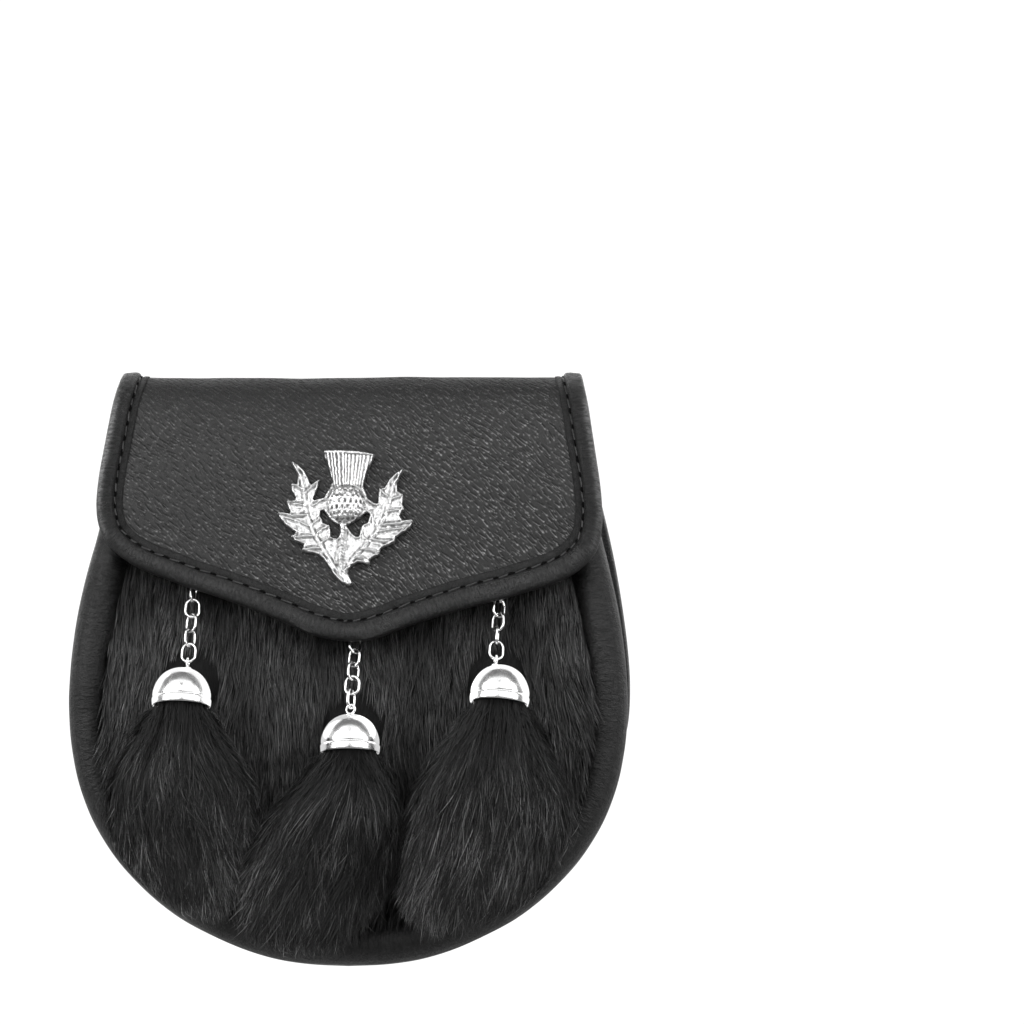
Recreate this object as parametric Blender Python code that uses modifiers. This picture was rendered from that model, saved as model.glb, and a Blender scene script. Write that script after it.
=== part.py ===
"""Semi-dress sporran pouch.

A round-bottomed leather pouch with a fur front, a flap with a thistle badge,
three fur tassels on short chains, and a belt loop with two rings on the back.

Frame: +Z up, the front faces -Y, +X to the right as seen from the front.
The origin is the middle of the belt-loop tunnel, where the pouch hangs.
Tables are in millimetres; "drop" is the distance below the bag's top edge.
"""
import bpy
import bmesh
import math
from mathutils import Matrix, Vector

MM = 0.001

# ----------------------------------------------------------- main sizes (mm)
TOP_ABOVE_HANG = 66.5      # top edge above the hanging point
SHEET_T = 2.2              # grained leather of back and flap
GUSSET_T = 1.6             # smooth gusset leather
BINDING_T = 1.1            # folded binding leather
LOOP_T = 1.7               # belt-loop leather
GAP = 0.3                  # clearance between touching pieces
BACK_Y = -6.1              # mid-surface of the back panel
BACK_DEPTH = 195.5         # drop of the back panel's bottom edge
FRONT_DEPTH = 200.2        # drop of the pouch front's bottom edge
FLAP_DROP = 90.3           # drop of the flap's tip
MOUTH_DROP = 26.0          # drop of the front panel's top edge
FLAP_CROWN = 4.5           # how far the flap's sides fall back from its middle

SHEET_COLUMNS = 10

# half outline of the back panel, bottom to top: drop, half width
BACK_OUTLINE = [
    (195.5, 0.0), (194.4, 11.0), (192.3, 22.2), (188.4, 35.5), (180.6, 51.9),
    (172.8, 63.6), (165.0, 72.2), (157.2, 78.8), (149.4, 83.9), (141.6, 87.8),
    (133.8, 90.5), (126.0, 92.8), (118.2, 94.4), (106.5, 94.9), (94.8, 94.2),
    (79.2, 92.2), (63.6, 89.5), (48.0, 86.0), (32.4, 81.9), (16.8, 78.4),
]
# half outline of the flap, top to tip: drop, half width
FLAP_OUTLINE = [
    (10.5, 79.8), (17.6, 81.6), (25.4, 83.2), (32.9, 84.4), (39.0, 85.0),
    (43.7, 85.1), (49.2, 84.3), (54.6, 82.2), (58.6, 78.7), (62.0, 74.4),
    (65.4, 67.8), (68.1, 60.6), (70.9, 53.2), (73.4, 45.4), (76.3, 37.0),
    (79.7, 28.0), (83.0, 20.0), (86.2, 13.3), (88.9, 6.8), (90.3, 0.0),
]
# profile of the sheet's mid-surface from the back over the fold: y, drop
SHEET_PROFILE = [
    (-6.1, 195.5), (-6.1, 150.0), (-6.1, 100.0), (-6.1, 60.0), (-6.1, 32.0),
    (-6.35, 16.5), (-9.3, 7.0), (-16.6, 2.2), (-25.2, 5.0), (-31.2, 12.0),
    (-37.3, 24.0), (-44.6, 42.0), (-50.4, 60.0), (-54.6, 75.0), (-57.8, 90.3),
]
# outline of the pouch front, top to bottom: drop, half width
FRONT_OUTLINE = [
    (18.0, 76.5), (30.0, 80.0), (42.0, 83.2), (49.5, 84.6), (56.3, 86.2),
    (63.0, 88.0), (69.8, 89.7), (76.6, 91.2), (83.4, 92.5), (90.2, 93.5),
    (97.0, 94.3), (103.7, 94.8), (110.5, 95.1), (117.3, 94.9), (124.0, 94.3),
    (130.9, 93.1), (137.6, 91.5), (144.4, 89.2), (151.2, 86.3), (158.0, 82.5),
    (164.8, 77.8), (171.5, 71.9), (178.3, 64.7), (185.1, 55.5), (191.9, 42.5),
    (195.3, 33.2), (198.0, 22.0), (199.6, 10.5), (200.2, 0.0),
]
# how far forward the padded roll's crest comes: drop, y
ROLL_CREST = [
    (18.0, -27.0), (30.0, -31.5), (45.0, -36.5), (60.0, -41.0), (75.0, -45.0),
    (90.0, -47.5), (110.0, -49.0), (140.0, -49.5), (170.0, -49.0), (201.0, -47.0),
]
# section of the gusset: follows front outline (0..1), outward offset, y at full depth
GUSSET_SECTION = [
    (0.00, -2.4, -8.3), (0.00, -6.4, -8.3), (0.05, -7.3, -9.9), (0.30, -6.4, -18.0),
    (0.62, -4.2, -27.0), (0.88, -1.9, -35.5), (1.00, -0.9, -40.8), (1.00, -2.5, -45.4),
    (1.00, -6.0, -48.2), (1.00, -9.6, -46.7), (1.00, -11.4, -43.4), (1.00, -13.0, -41.4),
    (1.00, -18.5, -41.2),
]
GUSSET_STEPS = 31
# pelt: drop, forward bulge of its middle, fur thickness
PELT_TABLE = [
    (26.0, 2.0, 3.0), (50.0, 3.2, 2.8), (70.0, 3.6, 2.6), (85.0, 3.9, 2.6),
    (100.0, 5.0, 4.6), (120.0, 5.6, 5.8), (145.0, 5.2, 6.0), (165.0, 3.8, 5.6),
    (178.0, 2.0, 4.6), (186.0, 0.4, 3.6),
]
PELT_INSET = 13.7          # pelt edge inside the pouch outline at the sides
PELT_INSET_BOTTOM = 18.7   # and at the bottom

# belt loop patch: drop, half width, rise of the line at its middle, y of its mid-surface
LOOP_ROWS = [
    (35.6, 25.9, 5.8, -3.65), (38.0, 25.8, 5.4, -3.65), (42.0, 25.2, 4.4, -3.65),
    (45.2, 24.6, 3.6, -3.30), (48.4, 24.0, 3.0, 0.60), (52.0, 23.4, 2.3, 4.30),
    (57.0, 22.7, 1.5, 6.60), (63.0, 22.2, 0.8, 7.30), (69.0, 22.4, 0.3, 7.10),
    (75.0, 23.4, 0.0, 5.90), (80.0, 24.6, 0.0, 3.90), (84.5, 25.9, 0.0, 0.90),
    (88.0, 27.2, 0.0, -2.30), (90.6, 28.2, 0.0, -3.60), (93.0, 28.4, 0.0, -3.65),
    (99.0, 23.6, 0.0, -3.65), (108.0, 16.0, 0.0, -3.65), (118.0, 7.8, 0.0, -3.65),
    (126.6, 0.9, 0.0, -3.65),
]
RING_RADIUS = 9.8          # to the middle of the wire
RING_WIRE = 1.9
RING_Y = -2.0
RINGS = [("ring_left", -24.6, -2.1), ("ring_right", 22.8, -3.4)]   # name, x, z
TAB_T = 1.2
TAB_HALF_HEIGHT = 3.0

# tassel chains: side, x at the eye, drop of the eye, y there, x at the bell top, drop, y
CHAINS = [
    ("left", -52.3, 66.0, -44.5, -56.0, 96.2, -57.0),
    ("centre", 2.9, 83.3, -49.7, 0.9, 111.6, -61.8),
    ("right", 52.2, 66.3, -44.6, 51.3, 95.2, -57.9),
]
# yaw of each link about the chain, from face-on, in degrees
LINK_YAW = {
    "left": (8, 70, 5, -46, 51, -8),
    "centre": (-20, 40, -39, 47, -10, 65),
    "right": (5, -60, 43, -34, 88, 15),
}
LINK_LENGTH = 7.4
LINK_WIDTH = 5.6
LINK_WIRE = 0.95
EYE_RADIUS = 1.75
EYE_WIRE = 0.9

# bell: radius, height above the rim
BELL_PROFILE = [
    (0.0, 14.2), (2.6, 13.9), (5.2, 12.8), (7.5, 10.9), (9.2, 8.3), (10.0, 5.4),
    (10.15, 3.9), (10.45, 3.4), (10.1, 2.9), (9.9, 1.2), (9.8, 0.0),
]
BELL_WALL = 0.9
# side, tilt forward, roll sideways in degrees
BELL_TILT = {"left": (14.0, 1.5), "centre": (12.0, 0.0), "right": (14.0, 9.0)}

# tassels: fall below the rim, x shift, half width, lift off the pouch, depth
TASSEL_ROWS = {
    "left": [
        (7.0, 0.0, 12.6, 0.9, 18.0), (13.0, -0.6, 16.6, 0.7, 20.0),
        (20.0, -0.8, 20.0, 0.6, 21.0), (30.0, 0.6, 23.0, 0.5, 21.0),
        (40.0, 1.6, 22.6, 0.5, 20.0), (50.0, 2.6, 19.6, 0.5, 17.5),
        (60.0, 3.4, 15.2, 0.5, 14.0), (68.0, 4.0, 9.6, 0.5, 9.0),
        (73.0, 4.2, 3.6, 0.5, 4.5),
    ],
    "centre": [
        (7.0, -1.0, 12.8, 0.9, 18.0), (13.0, -2.6, 17.0, 0.7, 20.0),
        (20.0, -5.6, 20.4, 0.6, 21.0), (30.0, -9.0, 22.6, 0.5, 21.0),
        (40.0, -12.0, 22.6, 0.5, 20.0), (50.0, -14.6, 19.8, 0.5, 17.5),
        (58.0, -17.0, 16.0, 0.5, 14.0), (64.0, -18.6, 10.6, 0.5, 9.5),
        (69.0, -19.4, 4.4, 0.5, 5.0),
    ],
    "right": [
        (7.0, -0.6, 12.8, 0.9, 18.0), (13.0, -1.4, 16.8, 0.7, 20.0),
        (20.0, -2.0, 20.6, 0.6, 21.0), (32.0, -2.2, 25.6, 0.5, 21.0),
        (44.0, -3.0, 26.6, 0.5, 20.0), (56.0, -4.6, 25.6, 0.5, 17.5),
        (66.0, -6.2, 22.0, 0.5, 14.0), (74.0, -7.2, 15.6, 0.5, 9.5),
        (79.0, -7.6, 7.0, 0.5, 5.0),
    ],
}
NECK_RADIUS = 8.4          # fur inside the bell
NECK_TOP = 9.0

# badge: middle of the ornament on the flap
BADGE_X = -1.9
BADGE_DROP = 48.8
BADGE_PLATE_T = 1.5
# thistle leaves, tip downwards: tooth x, tooth z, notch x, notch z (left leaf, outer side)
LEAF_LEFT_OUTER = [
    (-18.0, 19.5, -15.6, 11.8), (-18.0, 12.1, -16.2, 7.0), (-19.3, 6.2, -17.8, 2.2),
    (-22.2, 2.4, -16.5, -4.0), (-17.6, -5.9, -13.0, -8.3), (-14.0, -10.8, -8.8, -11.6),
]
LEAF_LEFT_INNER = [
    (-8.3, 13.8, -9.9, 6.6),
]
LEAF_RIGHT_OUTER = [
    (19.8, 16.5, 17.8, 9.6), (19.8, 8.5, 19.5, 5.5), (20.6, 3.3, 19.1, 0.0),
    (23.5, -0.7, 17.6, -5.9), (17.3, -7.7, 12.5, -9.6), (12.3, -11.4, 8.8, -13.2),
]
LEAF_RIGHT_INNER = [
    (11.6, 10.5, 11.4, 5.1),
]


# ---------------------------------------------------------------- utilities
def lerp(a, b, t):
    return a + (b - a) * t


def smooth(t):
    t = max(0.0, min(1.0, t))
    return t * t * (3.0 - 2.0 * t)


def table_value(table, key, column):
    """Value of one column of a table at a key in its first column, with smooth slopes."""
    xs = [row[0] for row in table]
    ys = [row[column] for row in table]
    if xs[0] > xs[-1]:
        xs.reverse()
        ys.reverse()
    if key <= xs[0]:
        return ys[0]
    if key >= xs[-1]:
        return ys[-1]
    slopes = [(ys[i + 1] - ys[i]) / (xs[i + 1] - xs[i]) for i in range(len(xs) - 1)]
    tangents = [slopes[0]]
    for i in range(1, len(xs) - 1):
        a, b = slopes[i - 1], slopes[i]
        tangents.append(0.0 if a * b <= 0.0 else 2.0 * a * b / (a + b))
    tangents.append(slopes[-1])
    i = 0
    while key > xs[i + 1]:
        i += 1
    h = xs[i + 1] - xs[i]
    t = (key - xs[i]) / h
    return ((1 + 2 * t) * (1 - t) ** 2 * ys[i] + t * (1 - t) ** 2 * h * tangents[i]
            + t * t * (3 - 2 * t) * ys[i + 1] + t * t * (t - 1) * h * tangents[i + 1])


def spline(points, count):
    """Evenly spaced points on a Catmull-Rom curve through 2D points."""
    pts = [Vector(p) for p in points]
    pts = [pts[0] * 2 - pts[1]] + pts + [pts[-1] * 2 - pts[-2]]
    fine = []
    for i in range(1, len(pts) - 2):
        p0, p1, p2, p3 = pts[i - 1:i + 3]
        k0, k1, k2 = ((p1 - p0).length ** 0.5, (p2 - p1).length ** 0.5, (p3 - p2).length ** 0.5)
        t0, t1 = 0.0, k0
        t2 = t1 + k1
        t3 = t2 + k2
        for j in range(12):
            t = lerp(t1, t2, j / 12.0)
            a1 = p0 * ((t1 - t) / (t1 - t0)) + p1 * ((t - t0) / (t1 - t0))
            a2 = p1 * ((t2 - t) / (t2 - t1)) + p2 * ((t - t1) / (t2 - t1))
            a3 = p2 * ((t3 - t) / (t3 - t2)) + p3 * ((t - t2) / (t3 - t2))
            b1 = a1 * ((t2 - t) / (t2 - t0)) + a2 * ((t - t0) / (t2 - t0))
            b2 = a2 * ((t3 - t) / (t3 - t1)) + a3 * ((t - t1) / (t3 - t1))
            fine.append(b1 * ((t2 - t) / (t2 - t1)) + b2 * ((t - t1) / (t2 - t1)))
    fine.append(pts[-2])
    return resample(fine, count)


def resample(fine, count):
    lengths = [0.0]
    for a, b in zip(fine, fine[1:]):
        lengths.append(lengths[-1] + (b - a).length)
    out, j = [], 0
    for i in range(count):
        target = lengths[-1] * i / (count - 1)
        while j < len(fine) - 2 and lengths[j + 1] < target:
            j += 1
        span = lengths[j + 1] - lengths[j]
        t = 0.0 if span == 0.0 else (target - lengths[j]) / span
        out.append(fine[j].lerp(fine[j + 1], max(0.0, min(1.0, t))))
    return out


def world(x, y, drop):
    return Vector((x, y, TOP_ABOVE_HANG - drop)) * MM


# -------------------------------------------------------------- collections
for old in list(bpy.data.objects):
    bpy.data.objects.remove(old, do_unlink=True)

parts = bpy.data.collections.new("sporran_pouch")
bpy.context.scene.collection.children.link(parts)
cutters = bpy.data.collections.new("cutters")
bpy.context.scene.collection.children.link(cutters)


def material(name, color, roughness, metallic=0.0):
    m = bpy.data.materials.new(name)
    m.use_nodes = True
    shader = m.node_tree.nodes["Principled BSDF"]
    shader.inputs["Base Color"].default_value = (*color, 1.0)
    shader.inputs["Roughness"].default_value = roughness
    shader.inputs["Metallic"].default_value = metallic
    return m


GRAINED = material("grained_leather", (0.030, 0.030, 0.031), 0.50)
SMOOTH_LEATHER = material("smooth_leather", (0.020, 0.020, 0.020), 0.38)
FUR = material("black_fur", (0.012, 0.012, 0.012), 0.85)
CHROME = material("polished_metal", (0.85, 0.85, 0.85), 0.08, 1.0)
CAST = material("cast_silver", (0.72, 0.72, 0.72), 0.28, 1.0)
HARDWARE = material("plain_steel", (0.60, 0.60, 0.60), 0.30, 1.0)


def make_object(name, mesh, mat, collection=parts, smooth_angle=50):
    obj = bpy.data.objects.new(name, mesh)
    collection.objects.link(obj)
    if mat:
        mesh.materials.append(mat)
    if smooth_angle:
        mesh.shade_smooth()
        mesh.set_sharp_from_angle(angle=math.radians(smooth_angle))
    return obj


def close_mesh(bm, mesh_name):
    bmesh.ops.remove_doubles(bm, verts=bm.verts, dist=1e-7)
    bmesh.ops.recalc_face_normals(bm, faces=bm.faces)
    mesh = bpy.data.meshes.new(mesh_name)
    bm.to_mesh(mesh)
    bm.free()
    return mesh


def loft(name, rings, mat, closed_path=False, smooth_angle=50):
    """A closed body through rings of equally many points, with end caps unless the path closes."""
    bm = bmesh.new()
    rows = [[bm.verts.new(p) for p in ring] for ring in rings]
    n = len(rows[0])
    count = len(rows)
    for i in range(count if closed_path else count - 1):
        a, b = rows[i], rows[(i + 1) % count]
        for j in range(n):
            k = (j + 1) % n
            bm.faces.new((a[j], a[k], b[k], b[j]))
    if not closed_path:
        bm.faces.new(rows[0])
        bm.faces.new(list(reversed(rows[-1])))
    return make_object(name, close_mesh(bm, name), mat, smooth_angle=smooth_angle)


def two_sided(name, front, back, mat, smooth_angle=50):
    """A closed sheet between two grids of points of the same size."""
    bm = bmesh.new()
    f = [[bm.verts.new(p) for p in row] for row in front]
    b = [[bm.verts.new(p) for p in row] for row in back]
    rows, cols = len(f), len(f[0])
    for i in range(rows - 1):
        for j in range(cols - 1):
            bm.faces.new((f[i][j], f[i][j + 1], f[i + 1][j + 1], f[i + 1][j]))
            bm.faces.new((b[i][j], b[i + 1][j], b[i + 1][j + 1], b[i][j + 1]))
    for j in range(cols - 1):
        bm.faces.new((f[0][j], b[0][j], b[0][j + 1], f[0][j + 1]))
        bm.faces.new((f[-1][j], f[-1][j + 1], b[-1][j + 1], b[-1][j]))
    for i in range(rows - 1):
        bm.faces.new((f[i][0], f[i + 1][0], b[i + 1][0], b[i][0]))
        bm.faces.new((f[i][-1], b[i][-1], b[i + 1][-1], f[i + 1][-1]))
    return make_object(name, close_mesh(bm, name), mat, smooth_angle=smooth_angle)


def as_mesh(obj, name, mat, smooth_angle=50):
    """The evaluated object as a plain mesh object of its own."""
    depsgraph = bpy.context.evaluated_depsgraph_get()
    mesh = bpy.data.meshes.new_from_object(obj.evaluated_get(depsgraph))
    bm = bmesh.new()
    bm.from_mesh(mesh)
    bmesh.ops.remove_doubles(bm, verts=bm.verts, dist=1e-6)
    bm.to_mesh(mesh)
    bm.free()
    matrix = obj.matrix_world.copy()
    bpy.data.objects.remove(obj, do_unlink=True)
    mesh.materials.clear()
    new = make_object(name, mesh, mat, smooth_angle=smooth_angle)
    new.matrix_world = matrix
    return new


def apply_modifiers(obj):
    depsgraph = bpy.context.evaluated_depsgraph_get()
    mesh = bpy.data.meshes.new_from_object(obj.evaluated_get(depsgraph))
    obj.modifiers.clear()
    obj.data = mesh
    return obj


def boolean(obj, other, operation):
    m = obj.modifiers.new(operation.lower(), "BOOLEAN")
    m.operation = operation
    m.solver = "EXACT"
    m.object = other
    bpy.context.view_layer.update()
    apply_modifiers(obj)
    bpy.data.objects.remove(other, do_unlink=True)


# ------------------------------------------------- the leather sheet's surface
class Sheet:
    """Back panel, fold and flap as one surface: x across, s along the profile from the bottom."""

    def __init__(self):
        pts = spline(SHEET_PROFILE, 400)
        self.pts = pts
        self.length = [0.0]
        for a, b in zip(pts, pts[1:]):
            self.length.append(self.length[-1] + (b - a).length)
        self.top = min(range(len(pts)), key=lambda i: pts[i].y)

    def profile(self, s):
        """(y, drop) of the mid-surface at s."""
        if s <= 0.0:
            return Vector((self.pts[0].x, self.pts[0].y - s))
        for_i = self._index(s)
        a, b = self.pts[for_i], self.pts[for_i + 1]
        t = (s - self.length[for_i]) / (self.length[for_i + 1] - self.length[for_i])
        return a + (b - a) * t

    def _index(self, s):
        lo, hi = 0, len(self.length) - 2
        while lo < hi:
            mid = (lo + hi + 1) // 2
            if self.length[mid] <= s:
                lo = mid
            else:
                hi = mid - 1
        return lo

    def s_back(self, drop):
        return self._find(drop, range(0, self.top))

    def s_flap(self, drop):
        return self._find(drop, range(self.top, len(self.pts) - 1))

    def _find(self, drop, indices):
        best = None
        for i in indices:
            a, b = self.pts[i].y, self.pts[i + 1].y
            if min(a, b) <= drop <= max(a, b) and a != b:
                t = (drop - a) / (b - a)
                return lerp(self.length[i], self.length[i + 1], t)
            near = abs(a - drop)
            if best is None or near < best[0]:
                best = (near, self.length[i])
        last = indices[-1] + 1
        extra = abs(self.pts[last].y - drop)
        if best is None or extra < best[0]:
            step = self.pts[last] - self.pts[last - 1]
            return self.length[last] + (drop - self.pts[last].y) / step.y * step.length
        return best[1]

    def crown(self, s):
        start = self.s_flap(6.0)
        return FLAP_CROWN * smooth((s - start) / 42.0)

    def point(self, x, s):
        p = self.profile(s)
        return Vector((x, p.x + self.crown(s) * (x / 85.0) ** 2, TOP_ABOVE_HANG - p.y))

    def normal(self, x, s):
        """Unit normal that points out of the pouch."""
        dx = self.point(x + 0.5, s) - self.point(x - 0.5, s)
        ds = self.point(x, s + 0.5) - self.point(x, s - 0.5)
        return ds.cross(dx).normalized()

    def at(self, x, s, h):
        return (self.point(x, s) + self.normal(x, s) * h) * MM


sheet = Sheet()
if sheet.normal(0.0, 60.0).y < 0.0:
    raise RuntimeError("the sheet's normal must point out of the back")

S_BOTTOM = sheet.s_back(BACK_DEPTH)
S_TIP = sheet.s_flap(FLAP_DROP)

half_rows = [Vector((w, sheet.s_back(d))) for d, w in BACK_OUTLINE]
half_rows += [Vector((76.2, sheet.length[sheet.top]))]
half_rows += [Vector((w, sheet.s_flap(d))) for d, w in FLAP_OUTLINE]
fine_outline = spline(half_rows, 600)


def turning(a, b, c):
    one, two = (b - a), (c - b)
    if one.length < 1e-9 or two.length < 1e-9:
        return 0.0
    return one.normalized().angle(two.normalized())


def stations_by_curvature(points):
    """Stations that lie closer together where the outline or the sheet bends."""
    cost = [0.0]
    for i in range(1, len(points)):
        a, b = points[i - 1], points[i]
        c = points[min(i + 1, len(points) - 1)]
        step = (b - a).length
        bend = turning(a, b, c) if i + 1 < len(points) else 0.0
        fold = turning(sheet.profile(a.y - 1), sheet.profile(a.y), sheet.profile(a.y + 1)) * step
        cost.append(cost[-1] + step / 17.0 + math.degrees(bend) / 13.0 + math.degrees(fold) / 14.0)
    count = int(round(cost[-1]))
    out, j = [], 0
    for i in range(count + 1):
        target = cost[-1] * i / count
        while j < len(points) - 2 and cost[j + 1] < target:
            j += 1
        span = cost[j + 1] - cost[j]
        out.append(points[j].lerp(points[j + 1], max(0.0, min(1.0, (target - cost[j]) / span))))
    return out


half_outline = stations_by_curvature(fine_outline)
EDGE_STEPS = len(half_outline)
BINDING_GAP = 0.4


def outline_frame(points, i):
    """Outward direction in the unrolled sheet at station i of a half outline (x >= 0)."""
    before = points[i - 1] if i > 0 else Vector((-points[1].x, points[1].y))
    after = points[i + 1] if i < len(points) - 1 else Vector((-points[-2].x, points[-2].y))
    tangent = (after - before).normalized()
    outward = Vector((tangent.y, -tangent.x))
    return outward


# back panel, fold and flap
SHEET_INSET = 2.0
inner = [p - outline_frame(half_outline, i) * SHEET_INSET for i, p in enumerate(half_outline)]
inner[0].x = 3.2
inner[-1].x = 2.2
front_grid, back_grid = [], []
for p in inner:
    front_grid.append([sheet.at(p.x * lerp(-1, 1, j / SHEET_COLUMNS), p.y, SHEET_T / 2)
                       for j in range(SHEET_COLUMNS + 1)])
    back_grid.append([sheet.at(p.x * lerp(-1, 1, j / SHEET_COLUMNS), p.y, -SHEET_T / 2)
                      for j in range(SHEET_COLUMNS + 1)])
flap_sheet = two_sided("back_and_flap", front_grid, back_grid, GRAINED)

# binding: a folded strip round the whole edge
S_FOLD_BACK = sheet.s_back(16.5)
S_FOLD_TOP = sheet.length[sheet.top]


def binding_widths(i):
    p = half_outline[i]
    steep = abs(outline_frame(half_outline, i).y)
    on_flap = smooth((p.y - S_FOLD_BACK) / (S_FOLD_TOP - S_FOLD_BACK))
    outer_width = lerp(lerp(8.5, 7.3, steep), lerp(9.0, 6.5, steep ** 0.7), on_flap)
    inner_width = lerp(5.6, outer_width - 0.8, on_flap)
    inner_gap = lerp(SHEET_T / 2 + GAP + GUSSET_T + BINDING_GAP, SHEET_T / 2 + BINDING_GAP, on_flap)
    return outer_width, inner_width, inner_gap


def binding_section(i):
    """(outward offset, height above the mid-surface) round the strip's section."""
    w, wb, hb = binding_widths(i)
    hf = SHEET_T / 2 + BINDING_GAP
    t = BINDING_T
    mid = (hf - hb) / 2
    return [
        (-w, hf), (-w, hf + t * 0.85), (-w * 0.5, hf + t * 1.2),
        (-0.9, hf + t * 0.45), (0.0, mid), (-0.9, -hb - t * 0.45),
        (-wb * 0.5, -hb - t), (-wb, -hb - t), (-wb, -hb), (-1.4, -hb), (-1.0, mid), (-1.4, hf),
    ]


rings = []
for side in (1, -1):
    stations = range(EDGE_STEPS) if side == 1 else range(EDGE_STEPS - 2, 0, -1)
    for i in stations:
        out = outline_frame(half_outline, i)
        ring = []
        for o, h in binding_section(i):
            q = half_outline[i] + out * o
            ring.append(sheet.at(q.x * side, q.y, h))
        rings.append(ring)
loft("edge_binding", rings, SMOOTH_LEATHER, closed_path=True, smooth_angle=70)


# ------------------------------------------------------------- pouch front
front_half = spline([(w, d) for d, w in FRONT_OUTLINE], GUSSET_STEPS)
GUSSET_TOP = 22.0
back_top = [(table_value(BACK_OUTLINE, GUSSET_TOP, 1), GUSSET_TOP)]
back_top += [(w, d) for d, w in reversed(BACK_OUTLINE) if d >= 30.0]
back_half = spline(back_top, GUSSET_STEPS)


def down_outward(points, i):
    before = points[max(i - 1, 0)]
    after = points[i + 1] if i < len(points) - 1 else Vector((-points[-2].x, points[-2].y))
    tangent = (after - before).normalized()
    return Vector((tangent.y, -tangent.x))


def gusset_line(i):
    """Mid line of the gusset's section at station i: points (x, y, drop) and outward."""
    f, b = front_half[i], back_half[i]
    nf, nb = down_outward(front_half, i), down_outward(back_half, i)
    crest = table_value(ROLL_CREST, f.y, 1)
    depth = (crest - BACK_Y - 2.2) / (-49.0 - BACK_Y - 2.2)
    wide = 1.0 + 0.33 * abs(nf.y) ** 2
    line = []
    for weight, out, y in GUSSET_SECTION:
        base = b.lerp(f, weight)
        normal = nb.lerp(nf, weight).normalized()
        stretch = wide if weight > 0.85 and out < -2.0 else 1.0
        p = base + normal * out * stretch
        line.append(Vector((p.x, y if weight == 0.0 else -8.3 + (y + 8.3) * depth, p.y)))
    return line


def gusset_ring(i, side):
    """Closed section: the mid line thickened to both sides in the plane of outward and y."""
    line = gusset_line(i)
    n = down_outward(front_half, i).lerp(down_outward(back_half, i), 0.4).normalized()
    plane = [Vector((n.x * p.x + n.y * p.z, p.y)) for p in line]
    one, two = [], []
    for k, p in enumerate(plane):
        a = plane[max(k - 1, 0)]
        b = plane[min(k + 1, len(plane) - 1)]
        t = (b - a).normalized()
        m = Vector((-t.y, t.x)) * (GUSSET_T / 2)
        q = line[k]
        for sign, target in ((1, one), (-1, two)):
            target.append(Vector((q.x + n.x * m.x * sign, q.y + m.y * sign, q.z + n.y * m.x * sign)))
    ring = one + list(reversed(two))
    return [world(p.x * side, p.y, p.z) for p in ring]


rings = [gusset_ring(i, 1) for i in range(GUSSET_STEPS)]
for p in rings[-1]:
    p.x = 0.0
rings += [gusset_ring(i, -1) for i in range(GUSSET_STEPS - 2, -1, -1)]
loft("gusset", rings, SMOOTH_LEATHER, smooth_angle=70)


# pelt: rows of a lens between its leather face and the fur's outer form
def pelt_edge():
    pts = []
    for i, p in enumerate(front_half):
        n = down_outward(front_half, i)
        inset = lerp(PELT_INSET, PELT_INSET_BOTTOM, abs(n.y) ** 2)
        q = p - n * inset
        pts.append((q, table_value(ROLL_CREST, p.y, 1)))
    return pts


def pelt_back_y(edge_crest):
    depth = (edge_crest - BACK_Y - 2.2) / (-49.0 - BACK_Y - 2.2)
    return -8.3 + (-41.4 + 8.3) * depth - GUSSET_T / 2 - GAP - 0.1


edge = [(q, c) for q, c in pelt_edge() if q.y >= MOUTH_DROP]
edge_rows = resample([q for q, _ in edge], 22)
PELT_COLUMNS = 12
front_grid, back_grid = [], []
for k, q in enumerate(edge_rows):
    x_edge = max(q.x, 3.0)
    crest = table_value([(e.y, c) for e, c in edge], q.y, 1)
    yb = pelt_back_y(crest)
    bulge = table_value(PELT_TABLE, q.y, 1)
    fur = table_value(PELT_TABLE, q.y, 2)
    row_f, row_b = [], []
    for j in range(PELT_COLUMNS + 1):
        r = math.sin(math.radians(lerp(-90, 90, j / PELT_COLUMNS)))
        y = yb - bulge * (1 - r * r)
        row_b.append(world(x_edge * r, y, q.y))
        row_f.append(world(x_edge * r, y - fur * (0.55 + 0.45 * (1 - r * r)), q.y))
    front_grid.append(row_f)
    back_grid.append(row_b)
two_sided("fur_panel", back_grid, front_grid, FUR)


def fur_front_y(x, drop):
    """Front face of the pelt's solid, in mm, for what rests on it."""
    rows = [(q.y, max(q.x, 3.0)) for q in edge_rows]
    w = table_value(rows, drop, 1)
    crest = table_value([(e.y, c) for e, c in edge], drop, 1)
    r = min(1.0, abs(x) / w)
    y = pelt_back_y(crest) - table_value(PELT_TABLE, drop, 1) * (1 - r * r)
    return y - table_value(PELT_TABLE, drop, 2) * (0.55 + 0.45 * (1 - r * r))


def rest_y(x, drop):
    """Foremost face of the pouch front under a point: the fur, or the roll outside it."""
    low = max(q.y for q in edge_rows)
    if drop < low:
        w = table_value([(q.y, max(q.x, 3.0)) for q in edge_rows], drop, 1)
        if abs(x) < w:
            return fur_front_y(x, drop)
    return table_value(ROLL_CREST, min(drop, 200.0), 1) - 0.1


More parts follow.
